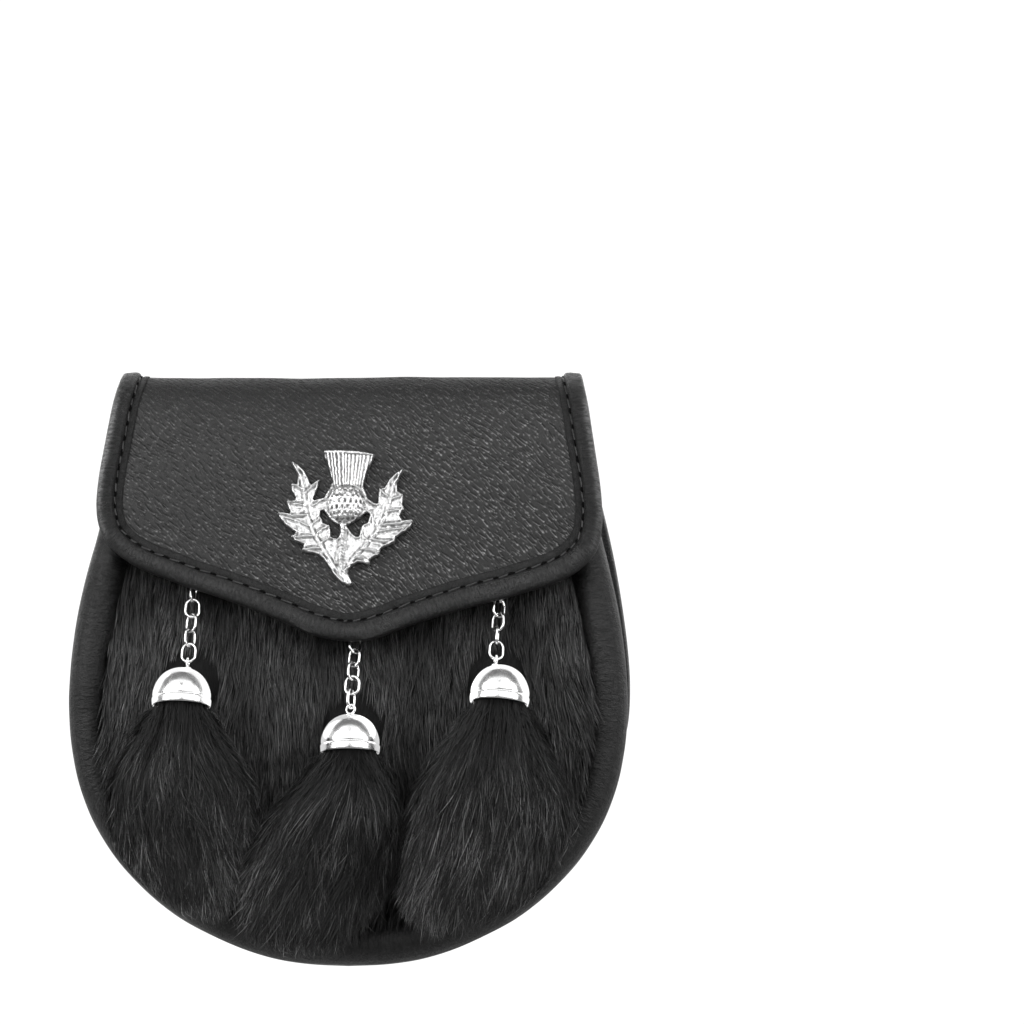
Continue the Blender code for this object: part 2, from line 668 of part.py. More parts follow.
# ------------------------------------------------------------ back fittings
LOOP_COLUMNS = 6
front_grid, back_grid = [], []
rows3 = []
for drop, half, rise, y in LOOP_ROWS:
    rows3.append([Vector((half * lerp(-1, 1, j / LOOP_COLUMNS), y,
                          drop - rise * (1 - lerp(-1, 1, j / LOOP_COLUMNS) ** 2)))
                  for j in range(LOOP_COLUMNS + 1)])
for k, row in enumerate(rows3):
    before, after = rows3[max(k - 1, 0)], rows3[min(k + 1, len(rows3) - 1)]
    rf, rb = [], []
    for j, p in enumerate(row):
        t = Vector((after[j].y - before[j].y, after[j].z - before[j].z)).normalized()
        m = Vector((t.y, -t.x)) * (LOOP_T / 2)
        rf.append(world(p.x, p.y + m.x, p.z + m.y))
        rb.append(world(p.x, p.y - m.x, p.z - m.y))
    front_grid.append(rf)
    back_grid.append(rb)
two_sided("belt_loop", front_grid, back_grid, GRAINED)

for name, x, z in RINGS:
    bpy.ops.mesh.primitive_torus_add(major_radius=RING_RADIUS * MM, minor_radius=RING_WIRE / 2 * MM,
                                     major_segments=24, minor_segments=6)
    ring = bpy.context.active_object
    ring.name = name
    ring.data.name = name
    for c in list(ring.users_collection):
        c.objects.unlink(ring)
    parts.objects.link(ring)
    ring.data.materials.append(CHROME)
    ring.data.shade_smooth()
    ring.location = Vector((x, RING_Y, z)) * MM
    ring.rotation_euler = (math.radians(90), 0.0, 0.0)

# hidden tab: a flattened loop of leather through both rings
left_wire = RINGS[0][1] + RING_RADIUS
right_wire = RINGS[1][1] - RING_RADIUS
inner_half = 1.3
bm = bmesh.new()


def stadium(radius):
    pts = []
    for centre, start in ((right_wire + 0.7, -90), (left_wire - 0.7, 90)):
        for k in range(7):
            a = math.radians(start + 30 * k)
            pts.append(Vector((centre + radius * math.cos(a), RING_Y + radius * math.sin(a), 0.0)))
    return pts


z_mid = (RINGS[0][2] + RINGS[1][2]) / 2
loops = []
for radius in (inner_half, inner_half + TAB_T):
    for dz in (-TAB_HALF_HEIGHT, TAB_HALF_HEIGHT):
        loops.append([bm.verts.new((p + Vector((0, 0, z_mid + dz))) * MM) for p in stadium(radius)])
in_low, in_high, out_low, out_high = loops
n = len(in_low)
for j in range(n):
    k = (j + 1) % n
    bm.faces.new((in_low[j], in_low[k], in_high[k], in_high[j]))
    bm.faces.new((out_low[j], out_high[j], out_high[k], out_low[k]))
    bm.faces.new((in_low[j], out_low[j], out_low[k], in_low[k]))
    bm.faces.new((in_high[j], in_high[k], out_high[k], out_high[j]))
make_object("ring_tab", close_mesh(bm, "ring_tab"), SMOOTH_LEATHER)


# -------------------------------------------------------------------- badge
S_BADGE = sheet.s_flap(BADGE_DROP)
badge_normal = sheet.normal(0.0, S_BADGE)
badge_origin = sheet.point(0.0, S_BADGE) + badge_normal * (SHEET_T / 2 + GAP + 0.1)
badge_up = Vector((0.0, -badge_normal.z, badge_normal.y))
if badge_up.z < 0:
    badge_up = -badge_up


def badge_to_world(x, z, h):
    """Badge-plane point: x right, z up in the plane, h out of the flap."""
    return (badge_origin + Vector((BADGE_X + x, 0, 0)) + badge_up * z + badge_normal * h) * MM


def leaf_outline(outer, inner, sign, bulb_join, stem_join):
    """Points of one leaf: along the toothed outer edge, then back along the inner edge."""
    pts = []
    for tooth_x, tooth_z, notch_x, notch_z in outer:
        pts += [(tooth_x, tooth_z), (notch_x, notch_z)]
    pts += stem_join
    pts += bulb_join
    for tooth_x, tooth_z, notch_x, notch_z in reversed(inner):
        pts += [(notch_x, notch_z), (tooth_x, tooth_z)]
    return pts


def prism(name, outline, h0, h1, mat=CAST):
    """Flat plate between two heights over the badge plane, from a 2D outline."""
    curve = bpy.data.curves.new(name, "CURVE")
    curve.dimensions = "2D"
    curve.fill_mode = "BOTH"
    curve.extrude = (h1 - h0) / 2 * MM
    s = curve.splines.new("POLY")
    s.points.add(len(outline) - 1)
    for p, (x, z) in zip(s.points, outline):
        p.co = (x * MM, z * MM, 0.0, 1.0)
    s.use_cyclic_u = True
    tmp = bpy.data.objects.new(name, curve)
    parts.objects.link(tmp)
    basis = Matrix.Identity(4)
    basis.col[0][:3] = (1, 0, 0)
    basis.col[1][:3] = badge_up
    basis.col[2][:3] = badge_normal
    basis.translation = badge_to_world(0.0, 0.0, (h0 + h1) / 2)
    tmp.matrix_world = basis
    bpy.context.view_layer.update()
    return as_mesh(tmp, name, mat, smooth_angle=0)


tail = [(-4.6, -15.8), (-1.1, -20.4), (1.1, -22.0), (3.5, -21.3), (2.4, -18.7), (2.9, -16.0), (6.6, -14.6)]
left_leaf = leaf_outline(LEAF_LEFT_OUTER, LEAF_LEFT_INNER, -1,
                         [(-1.0, -5.6), (-3.0, -6.3), (-4.4, -5.0), (-4.9, -1.6), (-7.4, -0.6), (-8.2, 3.0)],
                         [(-4.6, -15.8), (1.2, -16.4), (0.4, -8.0)])
right_leaf = leaf_outline(LEAF_RIGHT_OUTER, LEAF_RIGHT_INNER, 1,
                          [(1.4, -4.6), (5.0, -5.6), (6.2, -1.9), (8.5, 0.6), (7.0, 3.4)],
                          [(6.6, -14.6), (1.2, -16.4), (0.4, -8.0)])
stem = [(-1.5, 0.0), (1.3, 0.0), (1.2, -8.0), (2.9, -14.0), (2.4, -18.7), (3.5, -21.3), (1.1, -22.0),
        (-1.1, -20.4), (-4.6, -15.8), (-1.8, -9.0)]
tuft = [(-7.2, 22.6), (-4.6, 23.0), (0.3, 23.0), (5.8, 22.2), (10.1, 21.4), (8.6, 16.5), (6.6, 11.6),
        (-4.0, 11.6), (-5.4, 17.0)]

badge = prism("thistle_badge", left_leaf, 0.0, BADGE_PLATE_T)
boolean(badge, prism("right_leaf", right_leaf, 0.0, BADGE_PLATE_T + 0.004), "UNION")
boolean(badge, prism("stem", stem, 0.0 + 0.006, BADGE_PLATE_T + 0.4), "UNION")
boolean(badge, prism("tuft", tuft, 0.0 + 0.003, BADGE_PLATE_T + 0.9), "UNION")
bm = bmesh.new()
bmesh.ops.create_uvsphere(bm, u_segments=18, v_segments=12, radius=1.0)
bmesh.ops.bisect_plane(bm, geom=bm.verts[:] + bm.edges[:] + bm.faces[:], plane_co=(0, 0, 0.05),
                       plane_no=(0, 0, 1), clear_inner=True)
bmesh.ops.holes_fill(bm, edges=[e for e in bm.edges if e.is_boundary])
for v in bm.verts:
    v.co = badge_to_world(0.6 + v.co.x * 7.1, 5.4 + v.co.y * 6.9, 0.1 + v.co.z * 4.6)
bulb = make_object("bulb", close_mesh(bm, "bulb"), CAST)
boolean(badge, bulb, "UNION")

# two fixing posts, peened over inside the flap
POSTS = [(-6.0, -8.6), (7.6, -8.6)]
POST_RADIUS = 0.9
POST_HEAD = 2.0
for x, z in POSTS:
    reach = SHEET_T + 2 * GAP + 0.9
    for radius, low, high in ((POST_RADIUS, -reach - 0.2, 0.7), (POST_HEAD, -reach - 0.9, -reach)):
        bm = bmesh.new()
        bmesh.ops.create_cone(bm, cap_ends=True, segments=12, radius1=radius, radius2=radius, depth=1.0)
        for v in bm.verts:
            v.co = badge_to_world(x + v.co.x, z + v.co.y, lerp(low, high, v.co.z + 0.5))
        post = make_object("post", close_mesh(bm, "post"), CAST)
        boolean(badge, post, "UNION")
    bm = bmesh.new()
    bmesh.ops.create_cone(bm, cap_ends=True, segments=12, radius1=1.3, radius2=1.3, depth=1.0)
    for v in bm.verts:
        v.co = badge_to_world(x + v.co.x, z + v.co.y, lerp(-6.0, 2.0, v.co.z + 0.5))
    hole = make_object("post_hole", close_mesh(bm, "post_hole"), None, collection=cutters)
    hole.hide_render = True
    hole.display_type = "WIRE"
    boolean(flap_sheet, hole, "DIFFERENCE")
badge.data.materials.clear()
badge.data.materials.append(CAST)
badge.data.set_sharp_from_angle(angle=math.radians(35))

# hidden press stud between the flap and the fur
STUD_DROP = 63.0
s_stud = sheet.s_flap(STUD_DROP)
n_stud = sheet.normal(0.0, s_stud)
p_stud = sheet.point(0.0, s_stud) - n_stud * (SHEET_T / 2 + GAP)
stud_length = (fur_front_y(0.0, STUD_DROP + 1.5) - p_stud.y) - 1.4
bm = bmesh.new()
bmesh.ops.create_cone(bm, cap_ends=True, segments=20, radius1=5.5, radius2=5.5, depth=stud_length)
turn = n_stud.to_track_quat("Z", "Y")
for v in bm.verts:
    v.co = (turn @ v.co + p_stud - n_stud * (stud_length / 2)) * MM
make_object("flap_stud", close_mesh(bm, "flap_stud"), HARDWARE)


# ------------------------------------------------------- chains, bells, fur
def torus_at(name, centre, major, minor, turn, segments, sides, stretch=1.0, mat=CHROME):
    """A round or oval wire ring standing in the X-Z plane of its own axes."""
    bm = bmesh.new()
    rows = []
    straight = (stretch - 1.0) * major
    for i in range(segments):
        a = 2 * math.pi * i / segments
        ca, sa = math.cos(a), math.sin(a)
        mid = Vector((major * ca, 0.0, major * sa + (straight if sa > 0 else -straight if sa < 0 else 0.0)))
        out = Vector((ca, 0.0, sa))
        row = []
        for j in range(sides):
            b = 2 * math.pi * (j + 0.5) / sides
            row.append(mid + out * (minor * math.cos(b)) + Vector((0.0, minor * math.sin(b), 0.0)))
        rows.append([bm.verts.new((turn @ p + centre) * MM) for p in row])
    for i in range(segments):
        a, b = rows[i], rows[(i + 1) % segments]
        for j in range(sides):
            k = (j + 1) % sides
            bm.faces.new((a[j], a[k], b[k], b[j]))
    return make_object(name, close_mesh(bm, name), mat, smooth_angle=70)


def bell_wall(rotation, top):
    """Turned cap: outer profile down, inner profile up, with a Screw modifier."""
    outer = [Vector((r, z)) for r, z in BELL_PROFILE]
    inner = []
    for i, p in enumerate(outer):
        a, b = outer[max(i - 1, 0)], outer[min(i + 1, len(outer) - 1)]
        t = (b - a).normalized()
        inner.append(p + Vector((t.y, -t.x)) * BELL_WALL)
    inner[0] = Vector((0.0, outer[0].y - BELL_WALL))
    inner = [Vector((max(p.x, 0.0), p.y)) for p in inner]
    inner[-1] = Vector((outer[-1].x - BELL_WALL, 0.0))
    inner = [p for i, p in enumerate(inner) if i not in (6, 8)]
    profile = outer + list(reversed(inner))
    mesh = bpy.data.meshes.new("bell_profile")
    mesh.from_pydata([(p.x * MM, 0.0, p.y * MM) for p in profile],
                     [(i, i + 1) for i in range(len(profile) - 1)], [])
    obj = bpy.data.objects.new("bell_profile", mesh)
    parts.objects.link(obj)
    m = obj.modifiers.new("turn", "SCREW")
    m.axis = "Z"
    m.steps = 18
    m.render_steps = 18
    m.angle = 2 * math.pi
    m.use_merge_vertices = True
    m.merge_threshold = 0.00002
    return obj


for side, x_eye, drop_eye, y_eye, x_top, drop_top, y_top in CHAINS:
    eye = Vector((x_eye, y_eye, TOP_ABOVE_HANG - drop_eye))
    top = Vector((x_top, y_top, TOP_ABOVE_HANG - drop_top))
    line = (top - eye)
    direction = line.normalized()
    # axes of the chain: z against its run, x across the front
    zc = -direction
    xc = (Vector((1, 0, 0)) - zc * zc.x).normalized()
    yc = zc.cross(xc)
    base = Matrix((xc, yc, zc)).transposed()

    # eye on a small plate over the fur, edge-on to the first link
    first_yaw = math.radians(LINK_YAW[side][0] + 90)
    surface = min(fur_front_y(x_eye + dx, drop_eye + dz) for dx in (-2.5, 0, 2.5) for dz in (-1.7, 0, 1.7))
    anchor = torus_at("chain_anchor_" + side, eye, EYE_RADIUS, EYE_WIRE / 2,
                      base @ Matrix.Rotation(first_yaw, 3, "Z"), 14, 6, mat=HARDWARE)
    reach = EYE_RADIUS * abs(math.sin(first_yaw)) + EYE_WIRE / 2
    plate_front, plate_back = y_eye + reach - 0.4, surface - GAP
    bm = bmesh.new()
    bmesh.ops.create_cube(bm, size=1.0)
    for v in bm.verts:
        v.co = Vector((x_eye + v.co.x * 5.0, lerp(plate_front, plate_back, v.co.y + 0.5),
                       TOP_ABOVE_HANG - drop_eye + v.co.z * 3.4)) * MM
    plate = make_object("plate", close_mesh(bm, "plate"), HARDWARE)
    boolean(anchor, plate, "UNION")

    # links
    half_run = LINK_LENGTH / 2 - LINK_WIRE / 2
    r_end = LINK_WIDTH / 2 - LINK_WIRE / 2
    first_z = EYE_RADIUS + half_run - LINK_WIRE / 2 - EYE_WIRE / 2 - 0.22
    bell_eye = 1.55
    last_z = line.length - (half_run - LINK_WIRE / 2 - 0.4 - 0.22)
    count = len(LINK_YAW[side])
    pitch = (last_z - first_z) / (count - 1)
    for k, yaw in enumerate(LINK_YAW[side]):
        centre = eye + direction * (first_z + pitch * k)
        torus_at("link_%s_%d" % (side, k + 1), centre, r_end, LINK_WIRE / 2,
                 base @ Matrix.Rotation(math.radians(yaw), 3, "Z"), 12, 5,
                 stretch=half_run / r_end)

    # bell: its eye's highest wire point lies at the chain's end
    tilt, roll = (math.radians(v) for v in BELL_TILT[side])
    turn = Matrix.Rotation(roll, 3, "Y") @ Matrix.Rotation(-tilt, 3, "X")
    axis_up = turn @ Vector((0, 0, 1))
    eye_centre = top - axis_up * bell_eye
    rim = eye_centre - axis_up * (BELL_PROFILE[0][1] + bell_eye - 0.65)
    bell = bell_wall(turn, top)
    matrix = turn.to_4x4()
    matrix.translation = rim * MM
    bell.matrix_world = matrix
    bpy.context.view_layer.update()
    bell = as_mesh(bell, "bell_" + side, CHROME)
    last_yaw = math.radians(LINK_YAW[side][-1] + 90)
    loop_ring = torus_at("bell_eye", eye_centre, bell_eye, 0.4,
                         turn @ Matrix.Rotation(last_yaw, 3, "Z"), 12, 5)
    boolean(bell, loop_ring, "UNION")
    bell.data.materials.clear()
    bell.data.materials.append(CHROME)

    # tassel: a neck inside the bell, then soft rounded sections down to the tip
    rings = []
    points = 14
    for z, r in ((NECK_TOP, 5.6), (NECK_TOP - 2.6, 7.6), (3.0, NECK_RADIUS), (-1.2, NECK_RADIUS)):
        ring = []
        for j in range(points):
            a = 2 * math.pi * j / points
            ring.append((turn @ Vector((r * math.cos(a), r * math.sin(a), z)) + rim) * MM)
        rings.append(ring)
    for fall, shift, half, lift, depth in TASSEL_ROWS[side]:
        ring = []
        drop = TOP_ABOVE_HANG - rim.z + fall
        y_back = min(rest_y(rim.x + shift + half * f, drop + dz) for f in (-0.9, -0.6, -0.3, 0, 0.3, 0.6, 0.9)
                     for dz in (-4.0, 0.0, 4.0)) - lift
        for j in range(points):
            a = 2 * math.pi * j / points
            ca, sa = math.cos(a), math.sin(a)
            sx = math.copysign(abs(ca) ** 0.85, ca)
            sy = math.copysign(abs(sa) ** 0.85, sa)
            ring.append(Vector((rim.x + shift + half * sx, y_back - depth / 2 + depth / 2 * sy,
                                rim.z - fall)) * MM)
        rings.append(ring)
    loft("tassel_" + side, rings, FUR)
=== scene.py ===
"""Looks of the semi-dress sporran pouch: leather, fur, stitches and bright metal round the CAD frame.

Same frame as the CAD: +Z up, the front faces -Y, metres. Tables are in millimetres, with "drop"
the distance below the bag's top edge, and repeat the CAD's sizes.
"""
import math

import bmesh
import bpy
import numpy as np
from mathutils import Matrix, Vector
from mathutils.geometry import delaunay_2d_cdt
from mathutils.kdtree import KDTree


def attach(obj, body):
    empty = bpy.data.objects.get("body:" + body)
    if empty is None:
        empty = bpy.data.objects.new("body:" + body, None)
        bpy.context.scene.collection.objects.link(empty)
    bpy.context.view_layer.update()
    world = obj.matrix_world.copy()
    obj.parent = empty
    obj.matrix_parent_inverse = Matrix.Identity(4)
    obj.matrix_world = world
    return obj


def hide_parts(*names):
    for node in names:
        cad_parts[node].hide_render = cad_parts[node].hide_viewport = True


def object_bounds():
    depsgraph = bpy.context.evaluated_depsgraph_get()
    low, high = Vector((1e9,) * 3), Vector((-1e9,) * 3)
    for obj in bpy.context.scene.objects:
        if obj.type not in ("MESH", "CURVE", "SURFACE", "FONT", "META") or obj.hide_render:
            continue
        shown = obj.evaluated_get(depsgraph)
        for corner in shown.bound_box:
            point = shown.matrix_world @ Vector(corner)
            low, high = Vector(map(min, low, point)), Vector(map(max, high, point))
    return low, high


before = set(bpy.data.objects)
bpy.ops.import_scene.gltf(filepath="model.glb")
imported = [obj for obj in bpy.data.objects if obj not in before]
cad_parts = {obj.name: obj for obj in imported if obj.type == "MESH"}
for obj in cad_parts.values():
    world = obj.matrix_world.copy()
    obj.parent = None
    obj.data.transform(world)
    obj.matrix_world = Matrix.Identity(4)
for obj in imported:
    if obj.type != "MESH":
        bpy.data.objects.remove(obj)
CAD_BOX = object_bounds()

MM = 0.001
TOP = 66.5                 # drop 0 lies this high above the hanging point
SHEET_T = 2.2
LOOP_T = 1.7
BACK_Y = -6.1
BACK_DEPTH = 195.5
FLAP_DROP = 90.3
MOUTH_DROP = 26.0
FLAP_CROWN = 4.5

BACK_OUTLINE = [
    (195.5, 0.0), (194.4, 11.0), (192.3, 22.2), (188.4, 35.5), (180.6, 51.9),
    (172.8, 63.6), (165.0, 72.2), (157.2, 78.8), (149.4, 83.9), (141.6, 87.8),
    (133.8, 90.5), (126.0, 92.8), (118.2, 94.4), (106.5, 94.9), (94.8, 94.2),
    (79.2, 92.2), (63.6, 89.5), (48.0, 86.0), (32.4, 82.0), (16.8, 79.2),
]
FLAP_OUTLINE = [
    (10.5, 80.7), (17.6, 81.9), (25.4, 83.2), (32.9, 84.4), (39.0, 85.0),
    (43.7, 85.1), (49.2, 84.3), (54.6, 82.2), (58.6, 78.7), (62.0, 74.4),
    (65.4, 67.8), (68.1, 60.6), (70.9, 53.2), (73.4, 45.4), (76.3, 37.0),
    (79.7, 28.0), (83.0, 20.0), (86.2, 13.3), (88.9, 6.8), (90.3, 0.0),
]
SHEET_PROFILE = [
    (-6.1, 195.5), (-6.1, 150.0), (-6.1, 100.0), (-6.1, 60.0), (-6.1, 32.0),
    (-6.35, 16.5), (-9.3, 7.0), (-16.6, 2.2), (-25.2, 5.0), (-31.2, 12.0),
    (-37.3, 24.0), (-44.6, 42.0), (-50.4, 60.0), (-54.6, 75.0), (-57.8, 90.3),
]
FRONT_OUTLINE = [
    (18.0, 76.5), (30.0, 80.0), (42.0, 83.2), (49.5, 84.6), (56.3, 86.2),
    (63.0, 88.0), (69.8, 89.7), (76.6, 91.2), (83.4, 92.5), (90.2, 93.5),
    (97.0, 94.3), (103.7, 94.8), (110.5, 95.1), (117.3, 94.9), (124.0, 94.3),
    (130.9, 93.1), (137.6, 91.5), (144.4, 89.2), (151.2, 86.3), (158.0, 82.5),
    (164.8, 77.8), (171.5, 71.9), (178.3, 64.7), (185.1, 55.5), (191.9, 42.5),
    (195.4, 33.9), (198.2, 24.0), (199.8, 13.0), (200.4, 0.0),
]
ROLL_CREST = [
    (18.0, -27.0), (30.0, -31.5), (45.0, -36.5), (60.0, -41.0), (75.0, -45.0),
    (90.0, -47.5), (110.0, -49.0), (140.0, -49.5), (170.0, -49.0), (201.0, -47.0),
]
GUSSET_T = 1.6
GUSSET_SECTION = [
    (0.00, -2.4, -8.3), (0.00, -6.4, -8.3), (0.05, -7.3, -9.9), (0.30, -6.4, -18.0),
    (0.62, -4.2, -27.0), (0.88, -1.9, -35.5), (1.00, -0.9, -40.8), (1.00, -2.5, -45.4),
    (1.00, -6.0, -48.2), (1.00, -9.6, -46.7), (1.00, -11.4, -43.4), (1.00, -13.0, -41.4),
    (1.00, -18.5, -41.2),
]
PELT_TABLE = [
    (26.0, 2.0, 3.0), (50.0, 3.2, 2.8), (70.0, 3.6, 2.6), (85.0, 3.9, 2.6),
    (100.0, 5.0, 4.6), (120.0, 5.6, 5.8), (145.0, 5.2, 6.0), (165.0, 3.8, 5.6),
    (178.0, 2.0, 4.6), (186.0, 0.4, 3.6),
]
PELT_INSET = 13.7
PELT_INSET_BOTTOM = 18.7
LOOP_ROWS = [
    (35.6, 25.9, 5.8, -3.65), (38.0, 25.8, 5.4, -3.65), (42.0, 25.2, 4.4, -3.65),
    (45.2, 24.6, 3.6, -3.30), (48.4, 24.0, 3.0, 0.60), (52.0, 23.4, 2.3, 4.30),
    (57.0, 22.7, 1.5, 6.60), (63.0, 22.2, 0.8, 7.30), (69.0, 22.4, 0.3, 7.10),
    (75.0, 23.4, 0.0, 5.90), (80.0, 24.6, 0.0, 3.90), (84.5, 25.9, 0.0, 0.90),
    (88.0, 27.2, 0.0, -2.30), (90.6, 28.2, 0.0, -3.60), (93.0, 28.4, 0.0, -3.65),
    (99.0, 23.6, 0.0, -3.65), (108.0, 16.0, 0.0, -3.65), (118.0, 7.8, 0.0, -3.65),
    (126.6, 0.9, 0.0, -3.65),
]
RING_RADIUS, RING_WIRE, RING_Y = 9.8, 1.9, -2.0
RINGS = [("ring_left", -24.6, -2.1), ("ring_right", 22.8, -3.4)]
CHAINS = [
    ("left", -51.4, 66.0, -44.5, -53.1, 96.2, -57.3),
    ("centre", 3.7, 83.3, -49.7, 2.1, 111.6, -62.0),
    ("right", 52.2, 66.3, -44.6, 51.0, 95.2, -58.0),
]
LINK_YAW = {
    "left": (8, 70, 5, -46, 51, -8),
    "centre": (-20, 40, -39, 47, -10, 65),
    "right": (5, -60, 43, -34, 88, 15),
}
LINK_LENGTH, LINK_WIDTH, LINK_WIRE = 7.4, 5.6, 0.95
EYE_RADIUS, EYE_WIRE, BELL_EYE = 1.75, 0.9, 1.55
BELL_TILT = {"left": (14.0, 1.5), "centre": (12.0, 0.0), "right": (14.0, 4.0)}
BELL_TOP = 14.2
BELL_OFFSET = {"left": -1.7, "centre": 0.0, "right": 2.3}     # the eyes do not sit quite on the caps' tops
TASSEL_ROWS = {
    "left": [
        (7.0, 0.0, 12.6, 0.9, 18.0), (13.0, -0.6, 16.6, 0.7, 20.0),
        (20.0, -0.6, 20.6, 0.6, 21.0), (30.0, 0.2, 24.0, 0.5, 21.0),
        (40.0, 0.8, 24.0, 0.5, 20.0), (50.0, 2.0, 21.4, 0.5, 17.5),
        (60.0, 3.4, 17.2, 0.5, 14.0), (68.0, 4.4, 11.6, 0.5, 9.0),
        (73.5, 4.8, 4.6, 0.5, 4.5),
    ],
    "centre": [
        (7.0, -1.0, 12.8, 0.9, 18.0), (13.0, -2.6, 17.0, 0.7, 20.0),
        (20.0, -5.0, 20.8, 0.6, 21.0), (30.0, -8.0, 23.6, 0.5, 21.0),
        (40.0, -11.0, 24.2, 0.5, 20.0), (50.0, -14.0, 21.6, 0.5, 17.5),
        (59.0, -16.6, 17.4, 0.5, 14.0), (66.0, -18.2, 12.0, 0.5, 9.5),
        (71.0, -19.0, 5.4, 0.5, 5.0),
    ],
    "right": [
        (7.0, -0.6, 12.8, 0.9, 18.0), (13.0, -1.4, 16.8, 0.7, 20.0),
        (20.0, -2.0, 20.6, 0.6, 21.0), (32.0, -3.0, 25.8, 0.5, 21.0),
        (44.0, -4.8, 27.4, 0.5, 20.0), (56.0, -7.6, 25.8, 0.5, 17.5),
        (66.0, -10.4, 21.6, 0.5, 14.0), (74.0, -12.4, 15.4, 0.5, 9.5),
        (79.0, -13.2, 7.4, 0.5, 5.0),
    ],
}
BADGE_X, BADGE_DROP = -1.9, 48.8


# ------------------------------------------------------------------ helpers
def lerp(a, b, t):
    return a + (b - a) * t


def smooth(t):
    t = np.clip(t, 0.0, 1.0)
    return t * t * (3.0 - 2.0 * t)


def table_value(table, key, column):
    """One column of a table at keys (numbers or arrays) in its first column, with smooth slopes."""
    xs = np.array([row[0] for row in table], float)
    ys = np.array([row[column] for row in table], float)
    if xs[0] > xs[-1]:
        xs, ys = xs[::-1], ys[::-1]
    slopes = np.diff(ys) / np.diff(xs)
    tangents = np.empty_like(xs)
    tangents[0], tangents[-1] = slopes[0], slopes[-1]
    a, b = slopes[:-1], slopes[1:]
    with np.errstate(divide="ignore", invalid="ignore"):
        tangents[1:-1] = np.where(a * b <= 0.0, 0.0, 2.0 * a * b / (a + b))
    k = np.clip(np.asarray(key, float), xs[0], xs[-1])
    i = np.clip(np.searchsorted(xs, k, side="right") - 1, 0, len(xs) - 2)
    h = xs[i + 1] - xs[i]
    t = (k - xs[i]) / h
    out = ((1 + 2 * t) * (1 - t) ** 2 * ys[i] + t * (1 - t) ** 2 * h * tangents[i]
           + t * t * (3 - 2 * t) * ys[i + 1] + t * t * (t - 1) * h * tangents[i + 1])
    return out if np.ndim(key) else float(out)


def resample(points, count):
    """Evenly spaced points along a polyline, as an array."""
    pts = np.asarray(points, float)
    seg = np.linalg.norm(np.diff(pts, axis=0), axis=1)
    at = np.concatenate([[0.0], np.cumsum(seg)])
    want = np.linspace(0.0, at[-1], count)
    return np.stack([np.interp(want, at, pts[:, k]) for k in range(pts.shape[1])], 1)


def spline(points, count, steps=12):
    """Evenly spaced points on a Catmull-Rom curve through points of any dimension."""
    pts = [np.array(p, float) for p in points]
    pts = [2 * pts[0] - pts[1]] + pts + [2 * pts[-1] - pts[-2]]
    fine = []
    for i in range(1, len(pts) - 2):
        p0, p1, p2, p3 = pts[i - 1:i + 3]
        k0, k1, k2 = (max(np.linalg.norm(b - a), 1e-9) ** 0.5 for a, b in ((p0, p1), (p1, p2), (p2, p3)))
        t0, t1 = 0.0, k0
        t2, t3 = k0 + k1, k0 + k1 + k2
        for j in range(steps):
            t = lerp(t1, t2, j / steps)
            a1 = p0 * ((t1 - t) / (t1 - t0)) + p1 * ((t - t0) / (t1 - t0))
            a2 = p1 * ((t2 - t) / (t2 - t1)) + p2 * ((t - t1) / (t2 - t1))
            a3 = p2 * ((t3 - t) / (t3 - t2)) + p3 * ((t - t2) / (t3 - t2))
            b1 = a1 * ((t2 - t) / (t2 - t0)) + a2 * ((t - t0) / (t2 - t0))
            b2 = a2 * ((t3 - t) / (t3 - t1)) + a3 * ((t - t1) / (t3 - t1))
            fine.append(b1 * ((t2 - t) / (t2 - t1)) + b2 * ((t - t1) / (t2 - t1)))
    fine.append(pts[-2])
    return resample(fine, count)


def unit(v):
    return v / np.maximum(np.linalg.norm(v, axis=-1, keepdims=True), 1e-12)


def ripple(seed, wavelength, *coords, waves=10):
    """Smooth, seeded noise of about -1..1 over any coordinates (mm)."""
    rng = np.random.default_rng(seed)
    total = 0.0
    for _ in range(waves):
        k = rng.normal(size=len(coords))
        k *= 2 * math.pi / (wavelength * rng.uniform(0.7, 1.5) * max(np.linalg.norm(k), 1e-6))
        total = total + np.sin(sum(ki * np.asarray(c) for ki, c in zip(k, coords)) + rng.uniform(0, 6.28))
    return total / (waves * 0.5) ** 0.5 / 1.6


def grid_faces(rows, cols, start=0, wrap_rows=False, wrap_cols=False, flip=False):
    """Quads over a grid of vertices numbered row by row."""
    r = np.arange(rows if wrap_rows else rows - 1)
    c = np.arange(cols if wrap_cols else cols - 1)
    rr, cc = np.meshgrid(r, c, indexing="ij")
    r2, c2 = (rr + 1) % rows, (cc + 1) % cols
    q = np.stack([rr * cols + cc, rr * cols + c2, r2 * cols + c2, r2 * cols + cc], -1).reshape(-1, 4)
    return (q[:, ::-1] if flip else q) + start


